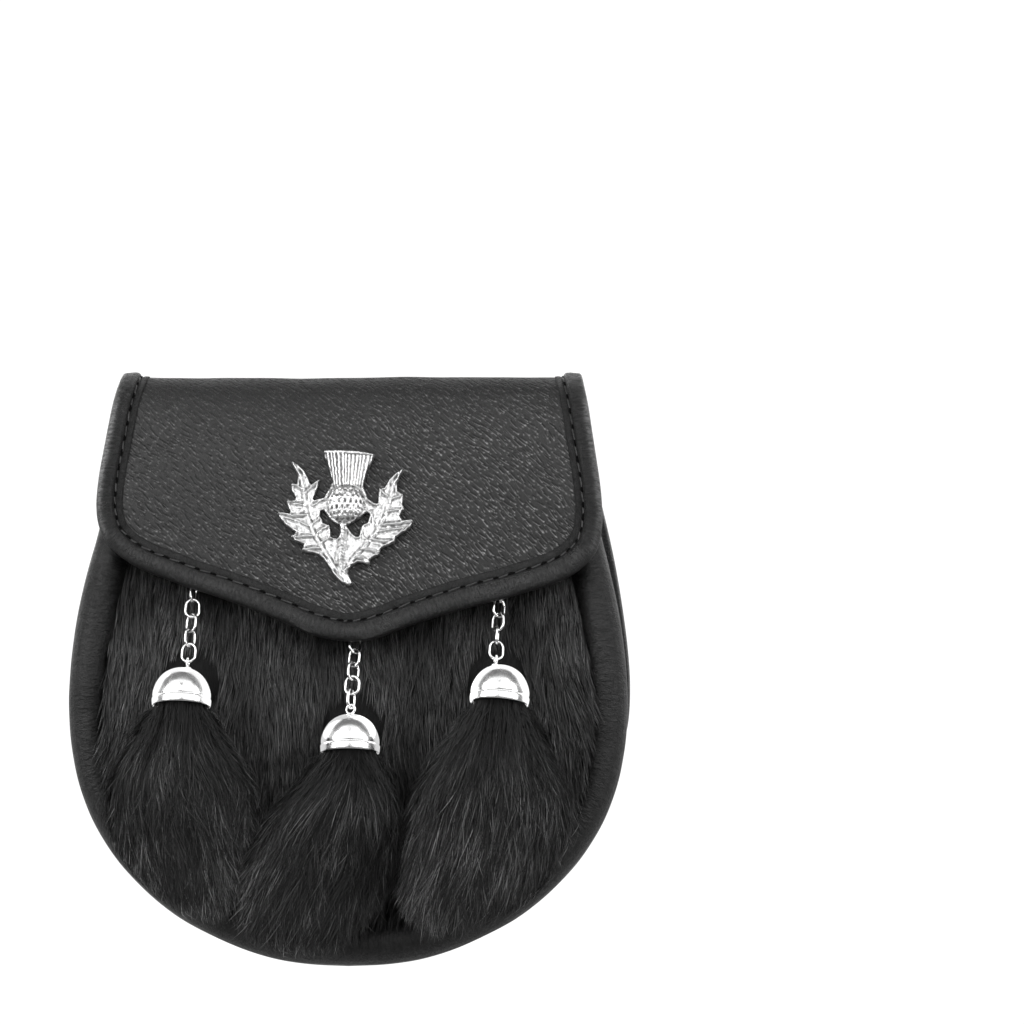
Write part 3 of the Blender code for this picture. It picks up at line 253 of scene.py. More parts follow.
def make_mesh(name, verts, quads=None, tris=None, uv=None, attrs=None, smooth_faces=True):
    """A mesh object in metres from arrays in mm; uv and attrs are per vertex."""
    verts = np.asarray(verts, np.float64).reshape(-1, 3)
    quads = np.zeros((0, 4), int) if quads is None else np.asarray(quads, int).reshape(-1, 4)
    tris = np.zeros((0, 3), int) if tris is None else np.asarray(tris, int).reshape(-1, 3)
    mesh = bpy.data.meshes.new(name)
    mesh.vertices.add(len(verts))
    mesh.vertices.foreach_set("co", (verts * MM).astype(np.float32).ravel())
    loops = np.concatenate([quads.ravel(), tris.ravel()]).astype(np.int32)
    mesh.loops.add(len(loops))
    mesh.loops.foreach_set("vertex_index", loops)
    nq, nt = len(quads), len(tris)
    starts = np.concatenate([np.arange(nq) * 4, nq * 4 + np.arange(nt) * 3]).astype(np.int32)
    mesh.polygons.add(nq + nt)
    mesh.polygons.foreach_set("loop_start", starts)
    mesh.update(calc_edges=True)
    mesh.validate()
    if smooth_faces:
        mesh.shade_smooth()
    if uv is not None:
        layer = mesh.uv_layers.new(name="grain")
        idx = np.empty(len(mesh.loops), np.int32)
        mesh.loops.foreach_get("vertex_index", idx)
        layer.data.foreach_set("uv", np.asarray(uv, np.float32)[idx].ravel())
    for key, values in (attrs or {}).items():
        attribute = mesh.attributes.new(key, "FLOAT", "POINT")
        attribute.data.foreach_set("value", np.asarray(values, np.float32).ravel())
    obj = bpy.data.objects.new(name, mesh)
    bpy.context.scene.collection.objects.link(obj)
    return obj


class Parts:
    """Collects many small closed shapes to be joined into one mesh."""

    def __init__(self):
        self.verts, self.quads, self.tris, self.values, self.count = [], [], [], [], 0

    def add(self, verts, quads=None, tris=None, value=0.0):
        verts = np.asarray(verts, float).reshape(-1, 3)
        if quads is not None and len(quads):
            self.quads.append(np.asarray(quads, int) + self.count)
        if tris is not None and len(tris):
            self.tris.append(np.asarray(tris, int) + self.count)
        self.verts.append(verts)
        self.values.append(np.full(len(verts), value))
        self.count += len(verts)

    def make(self, name, key="tone"):
        return make_mesh(name, np.concatenate(self.verts),
                         np.concatenate(self.quads) if self.quads else None,
                         np.concatenate(self.tris) if self.tris else None,
                         attrs={key: np.concatenate(self.values)})


def tube(points, radius, sides=8, closed=False, up=None):
    """Verts, quads, tris of a round tube along points (mm)."""
    pts = np.asarray(points, float)
    n = len(pts)
    if closed:
        tangent = unit(np.roll(pts, -1, 0) - np.roll(pts, 1, 0))
    else:
        tangent = unit(np.gradient(pts, axis=0))
    ref = np.array(up if up is not None else (0.3, 0.9, 0.25), float)
    side = unit(np.cross(tangent, ref))
    other = np.cross(side, tangent)
    r = np.broadcast_to(np.asarray(radius, float), (n,))[:, None, None]
    a = 2 * math.pi * np.arange(sides) / sides
    ring = pts[:, None, :] + r * (np.cos(a)[None, :, None] * side[:, None, :]
                                  + np.sin(a)[None, :, None] * other[:, None, :])
    verts = ring.reshape(-1, 3)
    quads = grid_faces(n, sides, wrap_rows=closed, wrap_cols=True, flip=True)
    tris = []
    if not closed:
        verts = np.concatenate([verts, pts[:1] - tangent[:1] * r[0, 0, 0] * 0.5,
                                pts[-1:] + tangent[-1:] * r[-1, 0, 0] * 0.5])
        a0, b0 = n * sides, n * sides + 1
        for j in range(sides):
            k = (j + 1) % sides
            tris.append((a0, j, k))
            tris.append((b0, (n - 1) * sides + k, (n - 1) * sides + j))
        tris = np.array(tris)[:, ::-1]
    return verts, quads, (tris if len(tris) else None)


def ride(obj, material, *nodes, slot=None):
    obj.data.materials.clear()
    obj.data.materials.append(material)
    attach(obj, "root")
    if nodes:
        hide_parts(*nodes)
    return obj


# ---------------------------------------------------------------- materials
class Tree:
    """Short words for building a node material."""

    def __init__(self, name):
        self.mat = bpy.data.materials.new(name)
        self.mat.use_nodes = True
        self.nodes = self.mat.node_tree.nodes
        self.links = self.mat.node_tree.links
        self.shader = self.nodes["Principled BSDF"]

    def put(self, socket, value):
        if hasattr(value, "is_output") or hasattr(value, "links"):
            self.links.new(value, socket)
        elif value is not None:
            socket.default_value = value

    def node(self, kind, inputs=None, out=0, **settings):
        n = self.nodes.new(kind)
        for key, value in settings.items():
            setattr(n, key, value)
        for key, value in (inputs or {}).items():
            self.put(n.inputs[key], value)
        return n.outputs[out]

    def uv(self, name="grain"):
        return self.node("ShaderNodeUVMap", uv_map=name)

    def object_coords(self):
        return self.node("ShaderNodeTexCoord", out=3)

    def mapping(self, vector, scale=(1, 1, 1), rotation=(0, 0, 0), location=(0, 0, 0)):
        return self.node("ShaderNodeMapping", {"Vector": vector, "Scale": scale, "Rotation": rotation,
                                               "Location": location})

    def noise(self, vector, scale, detail=2.0, roughness=0.5, distortion=0.0):
        return self.node("ShaderNodeTexNoise", {"Vector": vector, "Scale": scale, "Detail": detail,
                                                "Roughness": roughness, "Distortion": distortion})

    def voronoi(self, vector, scale, feature="DISTANCE_TO_EDGE", randomness=1.0, out=0):
        return self.node("ShaderNodeTexVoronoi", {"Vector": vector, "Scale": scale,
                                                  "Randomness": randomness}, out=out, feature=feature)

    def math(self, operation, a, b=None, clamp=False):
        n = self.nodes.new("ShaderNodeMath")
        n.operation = operation
        n.use_clamp = clamp
        self.put(n.inputs[0], a)
        if b is not None:
            self.put(n.inputs[1], b)
        return n.outputs[0]

    def remap(self, value, low, high, to_low=0.0, to_high=1.0, smoothstep=True):
        return self.node("ShaderNodeMapRange", {"Value": value, "From Min": low, "From Max": high,
                                                "To Min": to_low, "To Max": to_high},
                         interpolation_type="SMOOTHSTEP" if smoothstep else "LINEAR")

    def mix(self, factor, a, b):
        n = self.nodes.new("ShaderNodeMix")
        n.data_type = "RGBA"
        self.put(n.inputs[0], factor)
        self.put(n.inputs[6], a)
        self.put(n.inputs[7], b)
        return n.outputs[2]

    def offset(self, vector, by):
        n = self.nodes.new("ShaderNodeVectorMath")
        n.operation = "ADD"
        self.put(n.inputs[0], vector)
        n.inputs[1].default_value = by
        return n.outputs[0]

    def attribute(self, name):
        return self.node("ShaderNodeAttribute", out=2, attribute_name=name)

    def bump(self, height, distance, strength=1.0, normal=None):
        return self.node("ShaderNodeBump", {"Height": height, "Distance": distance, "Strength": strength,
                                            "Normal": normal})

    def set(self, **values):
        for key, value in values.items():
            self.put(self.shader.inputs[key.replace("_", " ")], value)
        return self.mat


def grey(v, warm=0.0):
    return (v * (1 + warm), v, v * (1 - warm), 1.0)


def dashes(t, vector, angle, along, across, length, width, seed=0.0, bend=0.0, turn=0.5, missing=0.25, lit=None):
    """Masks of short slanted creases, one to a jittered cell: the crease (painted shade), its lit lip (painted
    highlight), and a shadow beside it (painted shadow); they also shape the bump.

    The lip swells towards one end, and lit (1 or -1) says on which side of the crease it lies."""
    turned = t.mapping(vector, rotation=(0, 0, math.radians(-angle)), location=(seed, seed * 0.7, 0))
    cell = t.mapping(turned, scale=(100.0 / along, 100.0 / across, 1.0))
    voronoi = t.nodes.new("ShaderNodeTexVoronoi")
    voronoi.feature = "F1"
    t.put(voronoi.inputs["Vector"], cell)
    voronoi.inputs["Scale"].default_value = 1.0
    voronoi.inputs["Randomness"].default_value = 0.85
    away = t.node("ShaderNodeVectorMath", {0: cell, 1: voronoi.outputs["Position"]}, operation="SUBTRACT")
    away = t.mapping(away, scale=(along, across, 1.0))          # now in mm
    chance = t.node("ShaderNodeSeparateColor", {"Color": voronoi.outputs["Color"]})
    chance2 = t.node("ShaderNodeSeparateColor", {"Color": voronoi.outputs["Color"]}, out=1)
    chance3 = t.node("ShaderNodeSeparateColor", {"Color": voronoi.outputs["Color"]}, out=2)
    spin = t.math("MULTIPLY", t.math("SUBTRACT", chance, 0.5), turn)
    away = t.node("ShaderNodeVectorRotate", {"Vector": away, "Angle": spin}, rotation_type="Z_AXIS")
    dx = t.node("ShaderNodeSeparateXYZ", {"Vector": away})
    dy = t.node("ShaderNodeSeparateXYZ", {"Vector": away}, out=1)
    if bend:
        curve = t.math("MULTIPLY", t.math("MULTIPLY", dx, dx), t.math("MULTIPLY", t.math("ADD", chance3, 0.2), bend))
        dy = t.math("ADD", dy, curve)
    reach = t.math("MULTIPLY", t.math("ADD", chance3, 0.55), length / 2)
    part = t.math("DIVIDE", dx, reach)
    ex = t.math("POWER", t.math("ABSOLUTE", part), 4.0)
    swell = t.remap(part, -1.0, 0.9, 0.25, 1.0, smoothstep=False)
    amount = t.remap(chance2, missing - 0.3, missing + 0.55, 0.0, 1.0)

    def side_shift(offset):
        return t.math("SUBTRACT", dy, t.math("MULTIPLY", lit, offset) if lit is not None and offset else offset)

    def line(offset, w, grow):
        ey = t.math("DIVIDE", side_shift(offset), t.math("MULTIPLY", swell, w) if grow else w)
        total = t.math("ADD", ex, t.math("MULTIPLY", ey, ey))
        mask = t.math("MULTIPLY", t.math("EXPONENT", t.math("MULTIPLY", total, -1.0)), amount)
        return t.math("MULTIPLY", mask, swell) if grow else mask

    # a raised bead where the lip ends, with a painted glint
    ex2 = t.math("DIVIDE", t.math("SUBTRACT", dx, t.math("MULTIPLY", reach, 0.80)), 0.30)
    ey2 = t.math("DIVIDE", side_shift(width * 0.9), 0.25)
    total = t.math("ADD", t.math("MULTIPLY", ex2, ex2), t.math("MULTIPLY", ey2, ey2))
    bead_glint = t.math("MULTIPLY", t.math("EXPONENT", t.math("MULTIPLY", total, -1.0)), amount)
    return line(0.0, width, False), line(width * 1.2, width * 0.95, True), line(-width * 1.1, width * 1.3, False), bead_glint


def grained_leather(name, angle, tone=1.0, strength=1.0, bright=0.30, sheet_zones=False, marks=False):
    """Grained black leather: staggered short creases, each with a painted highlight on its lip, painted shade in it and
    a painted shadow on its other side.
    """
    t = Tree(name)
    uv = t.uv()
    wander = t.noise(uv, 4.0, 1.0)
    wander2 = t.noise(t.mapping(uv, location=(0.4, 0.9, 0)), 4.0, 1.0)
    bent = t.node("ShaderNodeVectorMath", {0: uv, 1: t.node(
        "ShaderNodeCombineXYZ", {"X": t.math("MULTIPLY", wander, 0.045), "Y": t.math("MULTIPLY", wander2, 0.045)})},
        operation="ADD")
    zone, lit = None, None
    if sheet_zones:
        # on the flap the run is downwards and on the back upwards, so the upper wall of a crease changes side,
        # and the painted highlight and shadow change side with it; the painted lip highlights show least at the flap's
        # upper left
        px_, py_ = (t.node("ShaderNodeSeparateXYZ", {"Vector": uv}, out=k) for k in (0, 1))
        on_flap = t.math("GREATER_THAN", py_, FOLD_RUN)
        lit = t.math("SUBTRACT", t.math("MULTIPLY", on_flap, 2.0), 1.0)
        slope = t.math("ADD", px_, t.math("MULTIPLY", t.math("SUBTRACT", py_, FOLD_RUN), 0.7))
        zone = t.math("MULTIPLY", t.remap(slope, -0.15, 0.70, 0.50, 1.0),
                      t.remap(t.math("SUBTRACT", py_, FOLD_RUN), 0.06, 0.34, 0.20, 1.0))
        behind = t.math("MULTIPLY", t.remap(py_, 0.15, 0.95, 0.30, 1.0), t.remap(px_, -0.35, 0.75, 1.0, 0.55))
        behind = t.math("MULTIPLY", behind, t.remap(t.math("SUBTRACT", FOLD_RUN, py_), 0.04, 0.30, 0.45, 1.15))
        zone = t.math("ADD", t.math("MULTIPLY", zone, on_flap),
                      t.math("MULTIPLY", t.math("SUBTRACT", 1.0, on_flap), behind))
    crease, lip, shade, bead_glint = dashes(t, bent, angle + 4, 3.7, 1.95, 4.1, 0.21, 0.0, bend=0.03, turn=0.45,
                                      missing=0.0, lit=lit)
    crease2, lip2, shade2, bead_glint2 = dashes(t, bent, angle + 9, 2.6, 1.7, 1.2, 0.19, 0.53, turn=0.6, missing=0.15,
                                          lit=lit)
    pores = t.noise(uv, 300.0, 3.0, 0.7)
    mottle = t.noise(t.mapping(uv, location=(3.0, 0.5, 0)), 95.0, 2.0, 0.6, 0.4)
    broad = t.noise(uv, 5.0, 2.0)
    patch = t.remap(t.noise(t.mapping(uv, location=(2.0, 1.0, 0)), 14.0, 2.0), 0.3, 0.7, 0.5, 1.0)
    height = t.math("ADD", t.math("MULTIPLY", crease, -0.50), t.math("MULTIPLY", crease2, -0.32))
    height = t.math("ADD", height, t.math("MULTIPLY", lip, 0.55))
    height = t.math("ADD", height, t.math("MULTIPLY", bead_glint, 0.45))
    height = t.math("ADD", height, t.math("MULTIPLY", mottle, 0.9))
    height = t.math("ADD", height, t.math("MULTIPLY", pores, 0.30))
    base = t.mix(broad, grey(0.005 * tone), grey(0.011 * tone))
    base = t.mix(t.remap(mottle, 0.40, 0.66), base, grey(0.018 * tone))
    base = t.mix(t.remap(pores, 0.46, 0.66), base, grey(0.032 * tone))
    if sheet_zones:
        # painted shade: the flap's base colour darkens towards its lower edge
        low = t.remap(t.math("SUBTRACT", py_, FOLD_RUN), 0.25, 0.80, 0.0, 0.70)
        base = t.mix(low, base, grey(0.0015))
    # painted shade in each crease and painted shadow beside it, stronger where the painted light zone is
    dark = t.math("MAXIMUM", t.math("MAXIMUM", shade, crease), shade2)
    deep = 0.72 if zone is None else t.remap(zone, 0.20, 1.0, 0.52, 0.92)
    color = t.mix(t.math("MULTIPLY", dark, deep), base, grey(0.0012))
    # painted highlights: the lit lips, and glints at the beads where they end
    glint = t.math("MULTIPLY", t.math("MAXIMUM", lip, t.math("MULTIPLY", lip2, 0.55)), patch)
    bead_glints = t.math("MULTIPLY", t.math("MAXIMUM", bead_glint, t.math("MULTIPLY", bead_glint2, 0.40)), patch)
    if zone is not None:
        glint = t.math("MULTIPLY", glint, zone)
        bead_glints = t.math("MULTIPLY", bead_glints, zone)
    color = t.mix(glint, color, grey(bright * 0.70))
    color = t.mix(t.math("MULTIPLY", bead_glints, 0.8), color, grey(bright * 1.20))
    if marks:
        # the belt loop's stitched end painted darker (painted shade beside the sheened free part), the turned hem, pale
        # cut edges, and painted shade in the needle holes
        color = t.mix(t.math("MULTIPLY", t.attribute("stitched_end_shade"), 0.45), color, grey(0.004))
        color = t.mix(t.math("MULTIPLY", t.attribute("hem"), 0.40), color, grey(0.045))
        color = t.mix(t.math("MULTIPLY", t.attribute("pale"), 0.60), color, grey(0.11))
        color = t.mix(t.remap(t.attribute("pit"), 0.12, 0.55), color, grey(0.0006))
    rough = t.remap(t.math("ADD", t.math("MULTIPLY", dark, 0.6), t.math("MULTIPLY", broad, 0.5)), 0.2, 0.9,
                    0.42, 0.72, smoothstep=False)
    return t.set(Base_Color=color, Roughness=rough, Specular_IOR_Level=0.42,
                 Normal=t.bump(height, 0.00030 * strength, 0.9))


def smooth_leather(name, along=(1.0, 0.16), scale=60.0, tone=1.0, strength=1.0, pore=0.16, specular=0.5,
                   rough=(0.38, 0.50), groove=False, wear_sheen_tone=0.016, wear_sheen_span=(0.44, 0.58), pore_tone=0.030):
    """Thin black leather with fine wrinkles across its run (uv: along, across)."""
    t = Tree(name)
    uv = t.uv()
    wrinkles = t.noise(t.mapping(uv, scale=(along[0], along[1], 1.0)), scale, 3.0, 0.55, 0.6)
    crossed = t.noise(t.mapping(uv, rotation=(0, 0, 0.7), scale=(along[0], along[1] * 1.6, 1.0)), scale * 1.5, 3.0, 0.6, 0.8)
    pores = t.noise(uv, 380.0, 3.0, 0.65)
    patch = t.noise(uv, 6.0, 2.0)
    amount = t.remap(patch, 0.32, 0.68, 0.25, 1.0)
    height = t.math("ADD", t.math("MULTIPLY", wrinkles, amount), t.math("MULTIPLY", crossed, 0.6))
    height = t.math("ADD", height, t.math("MULTIPLY", pores, pore))
    # the wrinkles' raised parts painted lighter: partly wear, partly painted sheen
    wear_and_sheen = t.math("ADD", t.math("MULTIPLY", wrinkles, 0.55), t.math("MULTIPLY", crossed, 0.45))
    color = t.mix(t.remap(wear_and_sheen, *wear_sheen_span), grey(0.003 * tone), grey(wear_sheen_tone * tone))
    color = t.mix(t.remap(pores, 0.52, 0.74), color, grey(pore_tone * tone))
    shine = t.remap(patch, 0.3, 0.7, rough[0], rough[1], smoothstep=False)
    if groove:
        # a painted highlight on the outer flank of the roll, broken up by the wrinkles
        roll_highlight = t.math("MULTIPLY", t.attribute("roll_highlight"), t.remap(wear_and_sheen, 0.38, 0.60, 0.25, 1.0))
        color = t.mix(roll_highlight, color, grey(0.25))
        # painted shade in the stitch groove and along the strip's edges, rougher there as well
        deep = t.attribute("groove")
        color = t.mix(deep, color, grey(0.0012))
        shine = t.math("ADD", shine, t.math("MULTIPLY", deep, 0.35), clamp=True)
    return t.set(Base_Color=color, Roughness=shine, Specular_IOR_Level=specular,
                 Normal=t.bump(height, 0.00055 * strength, 0.8))


def fur_material(name, low=0.007, high=0.12, rough=0.42, specular=0.5):
    t = Tree(name)
    # tone runs from near-black to grey; the lighter strands stand partly for lighter hair tips and partly for painted
    # sheen
    tone = t.attribute("tone")
    color = t.mix(tone, grey(low), grey(high))
    rnd = t.remap(tone, 0.0, 1.0, rough + 0.1, rough - 0.04, smoothstep=False)
    return t.set(Base_Color=color, Roughness=rnd, Specular_IOR_Level=specular)


def pelt_skin(name):
    t = Tree(name)
    n = t.noise(t.mapping(t.object_coords(), scale=(1, 1, 0.2)), 900.0, 3.0, 0.6)
    return t.set(Base_Color=t.mix(n, grey(0.002), grey(0.007)), Roughness=t.remap(n, 0.3, 0.7, 0.7, 0.9),
                 Specular_IOR_Level=0.2, Normal=t.bump(n, 0.0006, 1.0))


def chrome(name, rough=0.05, color=0.86):
    t = Tree(name)
    n = t.noise(t.object_coords(), 260.0, 3.0, 0.6)
    wide = t.noise(t.object_coords(), 55.0, 2.0)
    r = t.remap(n, 0.3, 0.75, rough * 0.7, rough * 1.6, smoothstep=False)
    return t.set(Base_Color=t.mix(n, grey(color * 0.97), grey(color)), Metallic=1.0, Roughness=r,
                 Normal=t.bump(wide, 0.00012, 0.5))


def cast_silver(name):
    """Cast metal coloured from the mesh's own relief attribute: bright raised parts and dark hollows, partly patina and
    wear and partly painted highlight and shade.
    """
    t = Tree(name)
    relief = t.attribute("relief")
    n = t.noise(t.object_coords(), 1400.0, 3.0, 0.65)
    n2 = t.noise(t.object_coords(), 420.0, 2.0, 0.5)
    wear_and_sheen = t.math("ADD", relief, t.math("MULTIPLY", t.math("SUBTRACT", n2, 0.5), 0.5))
    color = t.mix(t.remap(wear_and_sheen, 0.08, 0.84), grey(0.13), grey(0.77))
    color = t.mix(t.math("MULTIPLY", t.remap(n, 0.42, 0.62), 0.22), color, grey(0.32))
    rough = t.remap(wear_and_sheen, 0.1, 0.8, 0.5, 0.30, smoothstep=False)
    return t.set(Base_Color=color, Metallic=1.0, Roughness=rough, Normal=t.bump(n, 0.00010, 0.8))


def thread_material(name):
    t = Tree(name)
    n = t.noise(t.object_coords(), 1500.0, 2.0, 0.6)
    twist = t.node("ShaderNodeTexWave", {"Vector": t.object_coords(), "Scale": 900.0, "Distortion": 1.5})
    return t.set(Base_Color=t.mix(n, grey(0.008), grey(0.060)), Roughness=t.remap(n, 0.3, 0.7, 0.28, 0.42),
                 Normal=t.bump(twist, 0.00012, 0.7))


# painted shade: near-black material for the discs that stand for the shadowed needle holes
def dark_hole(name):
    t = Tree(name)
    n = t.noise(t.object_coords(), 800.0, 1.0)
    return t.set(Base_Color=t.mix(n, grey(0.0008), grey(0.002)), Roughness=t.remap(n, 0, 1, 0.8, 0.95),
                 Specular_IOR_Level=0.1)


def lining(name):
    t = Tree(name)
    n = t.noise(t.object_coords(), 700.0, 3.0, 0.65)
    return t.set(Base_Color=t.mix(n, grey(0.010), grey(0.022)), Roughness=t.remap(n, 0.3, 0.7, 0.75, 0.9),
                 Specular_IOR_Level=0.25, Normal=t.bump(n, 0.0003, 0.7))


FOLD_RUN = 1.93            # run (in 100 mm) from the back's lower edge to the top of the fold
M_FLAP = grained_leather("grained_leather_sheet", 38.0, tone=0.85, strength=1.35, bright=0.36, sheet_zones=True)
M_LOOP = grained_leather("grained_leather_loop", 20.0, tone=1.35, bright=0.24, marks=True)
M_BINDING = smooth_leather("binding_leather", along=(1.0, 0.28), scale=115.0, tone=0.8, strength=2.2, pore=0.36,
                           specular=0.41, rough=(0.24, 0.35), groove=True, wear_sheen_tone=0.021, wear_sheen_span=(0.38, 0.66),
                           pore_tone=0.022)
M_GUSSET = smooth_leather("gusset_leather", along=(1.0, 0.36), scale=66.0, tone=0.8, strength=1.7, pore=0.20,
                          specular=0.36, rough=(0.32, 0.46), wear_sheen_tone=0.016, wear_sheen_span=(0.40, 0.64))
M_FUR = fur_material("black_fur_strands", low=0.004, high=0.22, specular=0.33)
M_TASSEL = fur_material("tassel_fur_strands", low=0.003, high=0.34, specular=0.25)
M_SKIN = pelt_skin("fur_underlayer")
M_CHROME = chrome("bell_chrome", 0.20, 0.90)
M_WIRE = chrome("wire_chrome", 0.09)
M_STEEL = chrome("nickelled_steel", 0.22, 0.6)
M_SILVER = cast_silver("cast_silver")
M_THREAD = thread_material("black_thread")
M_HOLE = dark_hole("needle_holes")
M_LINING = lining("flap_lining")


# ---------------------------------------------------- the leather sheet's surface
class Sheet:
    """Back panel, fold and flap as one surface: x across, s along the profile from the bottom."""

    def __init__(self):
        pts = spline(SHEET_PROFILE, 2400)
        self.y, self.d = pts[:, 0], pts[:, 1]
        seg = np.linalg.norm(np.diff(pts, axis=0), axis=1)
        self.s = np.concatenate([[0.0], np.cumsum(seg)])
        self.top = int(np.argmin(self.d))
        self.end = (pts[-1] - pts[-40]) / (self.s[-1] - self.s[-40])
        lower = [(w, self.s_flap(d)) for d, w in FLAP_OUTLINE if d >= 49.0][::-1]
        self.edge_x, self.edge_s = [r[0] for r in lower], [r[1] for r in lower]

    def profile(self, s):
        s = np.asarray(s, float)
        over = np.maximum(s - self.s[-1], 0.0)
        under = np.maximum(-s, 0.0)
        y = np.interp(s, self.s, self.y) + over * self.end[0]
        d = np.interp(s, self.s, self.d) + over * self.end[1] + under
        return y, d

    def s_back(self, drop):
        k = slice(self.top, None, -1)
        return np.interp(drop, self.d[k], self.s[k])

    def s_flap(self, drop):
        return np.interp(drop, self.d[self.top:], self.s[self.top:])

    def hung(self, x, s):
        """The real flap hangs a little lower than the plan, most at its right corner, and is wider there."""
        x, s = np.broadcast_arrays(np.asarray(x, float), np.asarray(s, float))
        past = np.maximum(s - self.s[self.top], 0.0)
        edge = np.interp(np.abs(x), self.edge_x, self.edge_s) - self.s[self.top]
        g = np.minimum(past / edge, 1.4) ** 1.25
        wide = 0.6 * smooth((s - self.s[self.top] + 10.0) / 14.0) + 0.9 * g
        side = np.where(x > 0, wide * smooth((x - 20.0) / 60.0), -0.35 * wide * smooth((-x - 20.0) / 60.0))
        blunt = 1.5 * np.exp(-((x + 1.0) / 9.0) ** 2)
        return x + side, s + g * (1.35 + 0.070 * np.maximum(x, 0.0) - blunt)

    def point(self, x, s):
        x, s = self.hung(x, s)
        y, d = self.profile(s)
        crown = FLAP_CROWN * smooth((np.asarray(s) - self.s_flap(6.0)) / 42.0)
        return np.stack(np.broadcast_arrays(np.asarray(x, float), y + crown * (np.asarray(x) / 85.0) ** 2, TOP - d),
                        -1)

    def normal(self, x, s, e=0.5):
        dx = self.point(x + e, s) - self.point(x - e, s)
        ds = self.point(x, s + e) - self.point(x, s - e)
        return unit(np.cross(ds, dx))

    def at(self, x, s, h):
        return self.point(x, s) + self.normal(x, s) * np.asarray(h)[..., None]


sheet = Sheet()
half_rows = [(w, sheet.s_back(d)) for d, w in BACK_OUTLINE]
half_rows += [(78.2, sheet.s[sheet.top])]
half_rows += [(w, sheet.s_flap(d)) for d, w in FLAP_OUTLINE]


def mirrored_spline(points, count):
    """A half outline whose ends run square into the middle line."""
    whole = spline([(-points[1][0], points[1][1])] + points + [(-points[-2][0], points[-2][1])], 6000)
    first = int(np.argmax(whole[:, 0] >= 0.0))
    last = len(whole) - 1 - int(np.argmax(whole[::-1, 0] >= 0.0))
    half = whole[first:last + 1].copy()
    half[0, 0] = half[-1, 0] = 0.0
    return resample(half, count)


HALF_EDGE = mirrored_spline(half_rows, 540)
S_FOLD_BACK = sheet.s_back(16.5)
S_FOLD_TOP = sheet.s[sheet.top]


def outward_of(points):
    """Outward direction in the unrolled sheet at each station of a half outline."""
    before = np.concatenate([[(-points[1][0], points[1][1])], points[:-1]])
    after = np.concatenate([points[1:], [(-points[-2][0], points[-2][1])]])
    t = unit(after - before)
    return np.stack([t[:, 1], -t[:, 0]], 1)


EDGE_OUT = outward_of(HALF_EDGE)


def edge_widths(half, out):
    """Binding width outside and inside, and the stitch line's distance from the edge."""
    steep = np.abs(out[:, 1])
    on_flap = smooth((half[:, 1] - S_FOLD_BACK) / (S_FOLD_TOP - S_FOLD_BACK))
    width = lerp(lerp(8.5, 7.9, steep), lerp(9.2, 9.4, steep), on_flap)
    inner = lerp(5.6, lerp(8.2, 5.7, steep ** 0.7), on_flap)
    stitch = lerp(lerp(5.9, 5.6, steep), lerp(6.5, 6.6, steep), on_flap)
    inner_h = lerp(SHEET_T / 2 + 0.3 + GUSSET_T + 0.4, SHEET_T / 2 + 0.4, on_flap)
    return width, inner, stitch, inner_h, on_flap


# ------------------------------------------------------ back panel, fold and flap
def make_sheet():
    rows, cols = 190, 100
    inner = HALF_EDGE - EDGE_OUT * 2.2
    inner[0, 0], inner[-1, 0] = 3.2, 2.2
    path = resample(inner, rows)
    t = np.linspace(-1, 1, cols)
    x = path[:, :1] * t[None, :]
    s = np.repeat(path[:, 1:2], cols, 1)
    # the rows are spaced evenly along the edge, so they crowd together where the edge runs across
    on_flap = smooth((s - S_FOLD_TOP) / 40.0)
    wave = 0.22 * ripple(3, 46.0, x, s) + 0.10 * ripple(4, 17.0, x, s)
    wave = wave + 0.25 * on_flap * ripple(5, 75.0, x, s * 1.4)
    steep = np.interp(path[:, 1], HALF_EDGE[:, 1], EDGE_OUT[:, 0])[:, None]
    wave = wave * smooth(((path[:, :1] - np.abs(x)) * steep - 6.0) / 9.0)
    front = sheet.at(x, s, SHEET_T / 2 + wave)
    back = sheet.at(x, s, -SHEET_T / 2 + wave * 0.5)
    n = rows * cols
    verts = np.concatenate([front.reshape(-1, 3), back.reshape(-1, 3)])
    quads = [grid_faces(rows, cols, flip=True), grid_faces(rows, cols, start=n)]
    border = ([(i, 0) for i in range(rows)] + [(rows - 1, j) for j in range(1, cols)]
              + [(i, cols - 1) for i in range(rows - 2, -1, -1)] + [(0, j) for j in range(cols - 2, 0, -1)])
    loop = np.array([i * cols + j for i, j in border])
    nxt = np.roll(loop, -1)
    quads.append(np.stack([loop, nxt, nxt + n, loop + n], 1)[:, ::-1])
    uv = np.stack([x, s], -1).reshape(-1, 2) / 100.0
    obj = make_mesh("back_and_flap_leather", verts, np.concatenate(quads), uv=np.concatenate([uv, uv + 5.0]))
    ride(obj, M_FLAP, "back_and_flap", slot="grained_leather")
    obj.data.materials.append(M_LINING)
    index = np.zeros(len(obj.data.polygons), np.int32)
    nf = (rows - 1) * (cols - 1)
    index[nf:2 * nf] = 1
    obj.data.polygons.foreach_set("material_index", index)
    return obj


make_sheet()


# ------------------------------------------------------------- folded binding
def whole_edge():
    """The order of stations round the whole edge, as half-edge indices, and the side sign of each."""
    n = len(HALF_EDGE)
    order = np.concatenate([np.arange(n), np.arange(n - 2, 0, -1)])
    sign = np.concatenate([np.ones(n), -np.ones(n - 2)])
    return order, sign


EDGE_ORDER, EDGE_SIGN = whole_edge()


def edge_point(index, sign, offset, height):
    """World point at an outward offset and a height over the sheet's mid-surface."""
    q = HALF_EDGE[index] + EDGE_OUT[index] * np.asarray(offset)[..., None]
    return sheet.at(q[..., 0] * sign, q[..., 1], height)


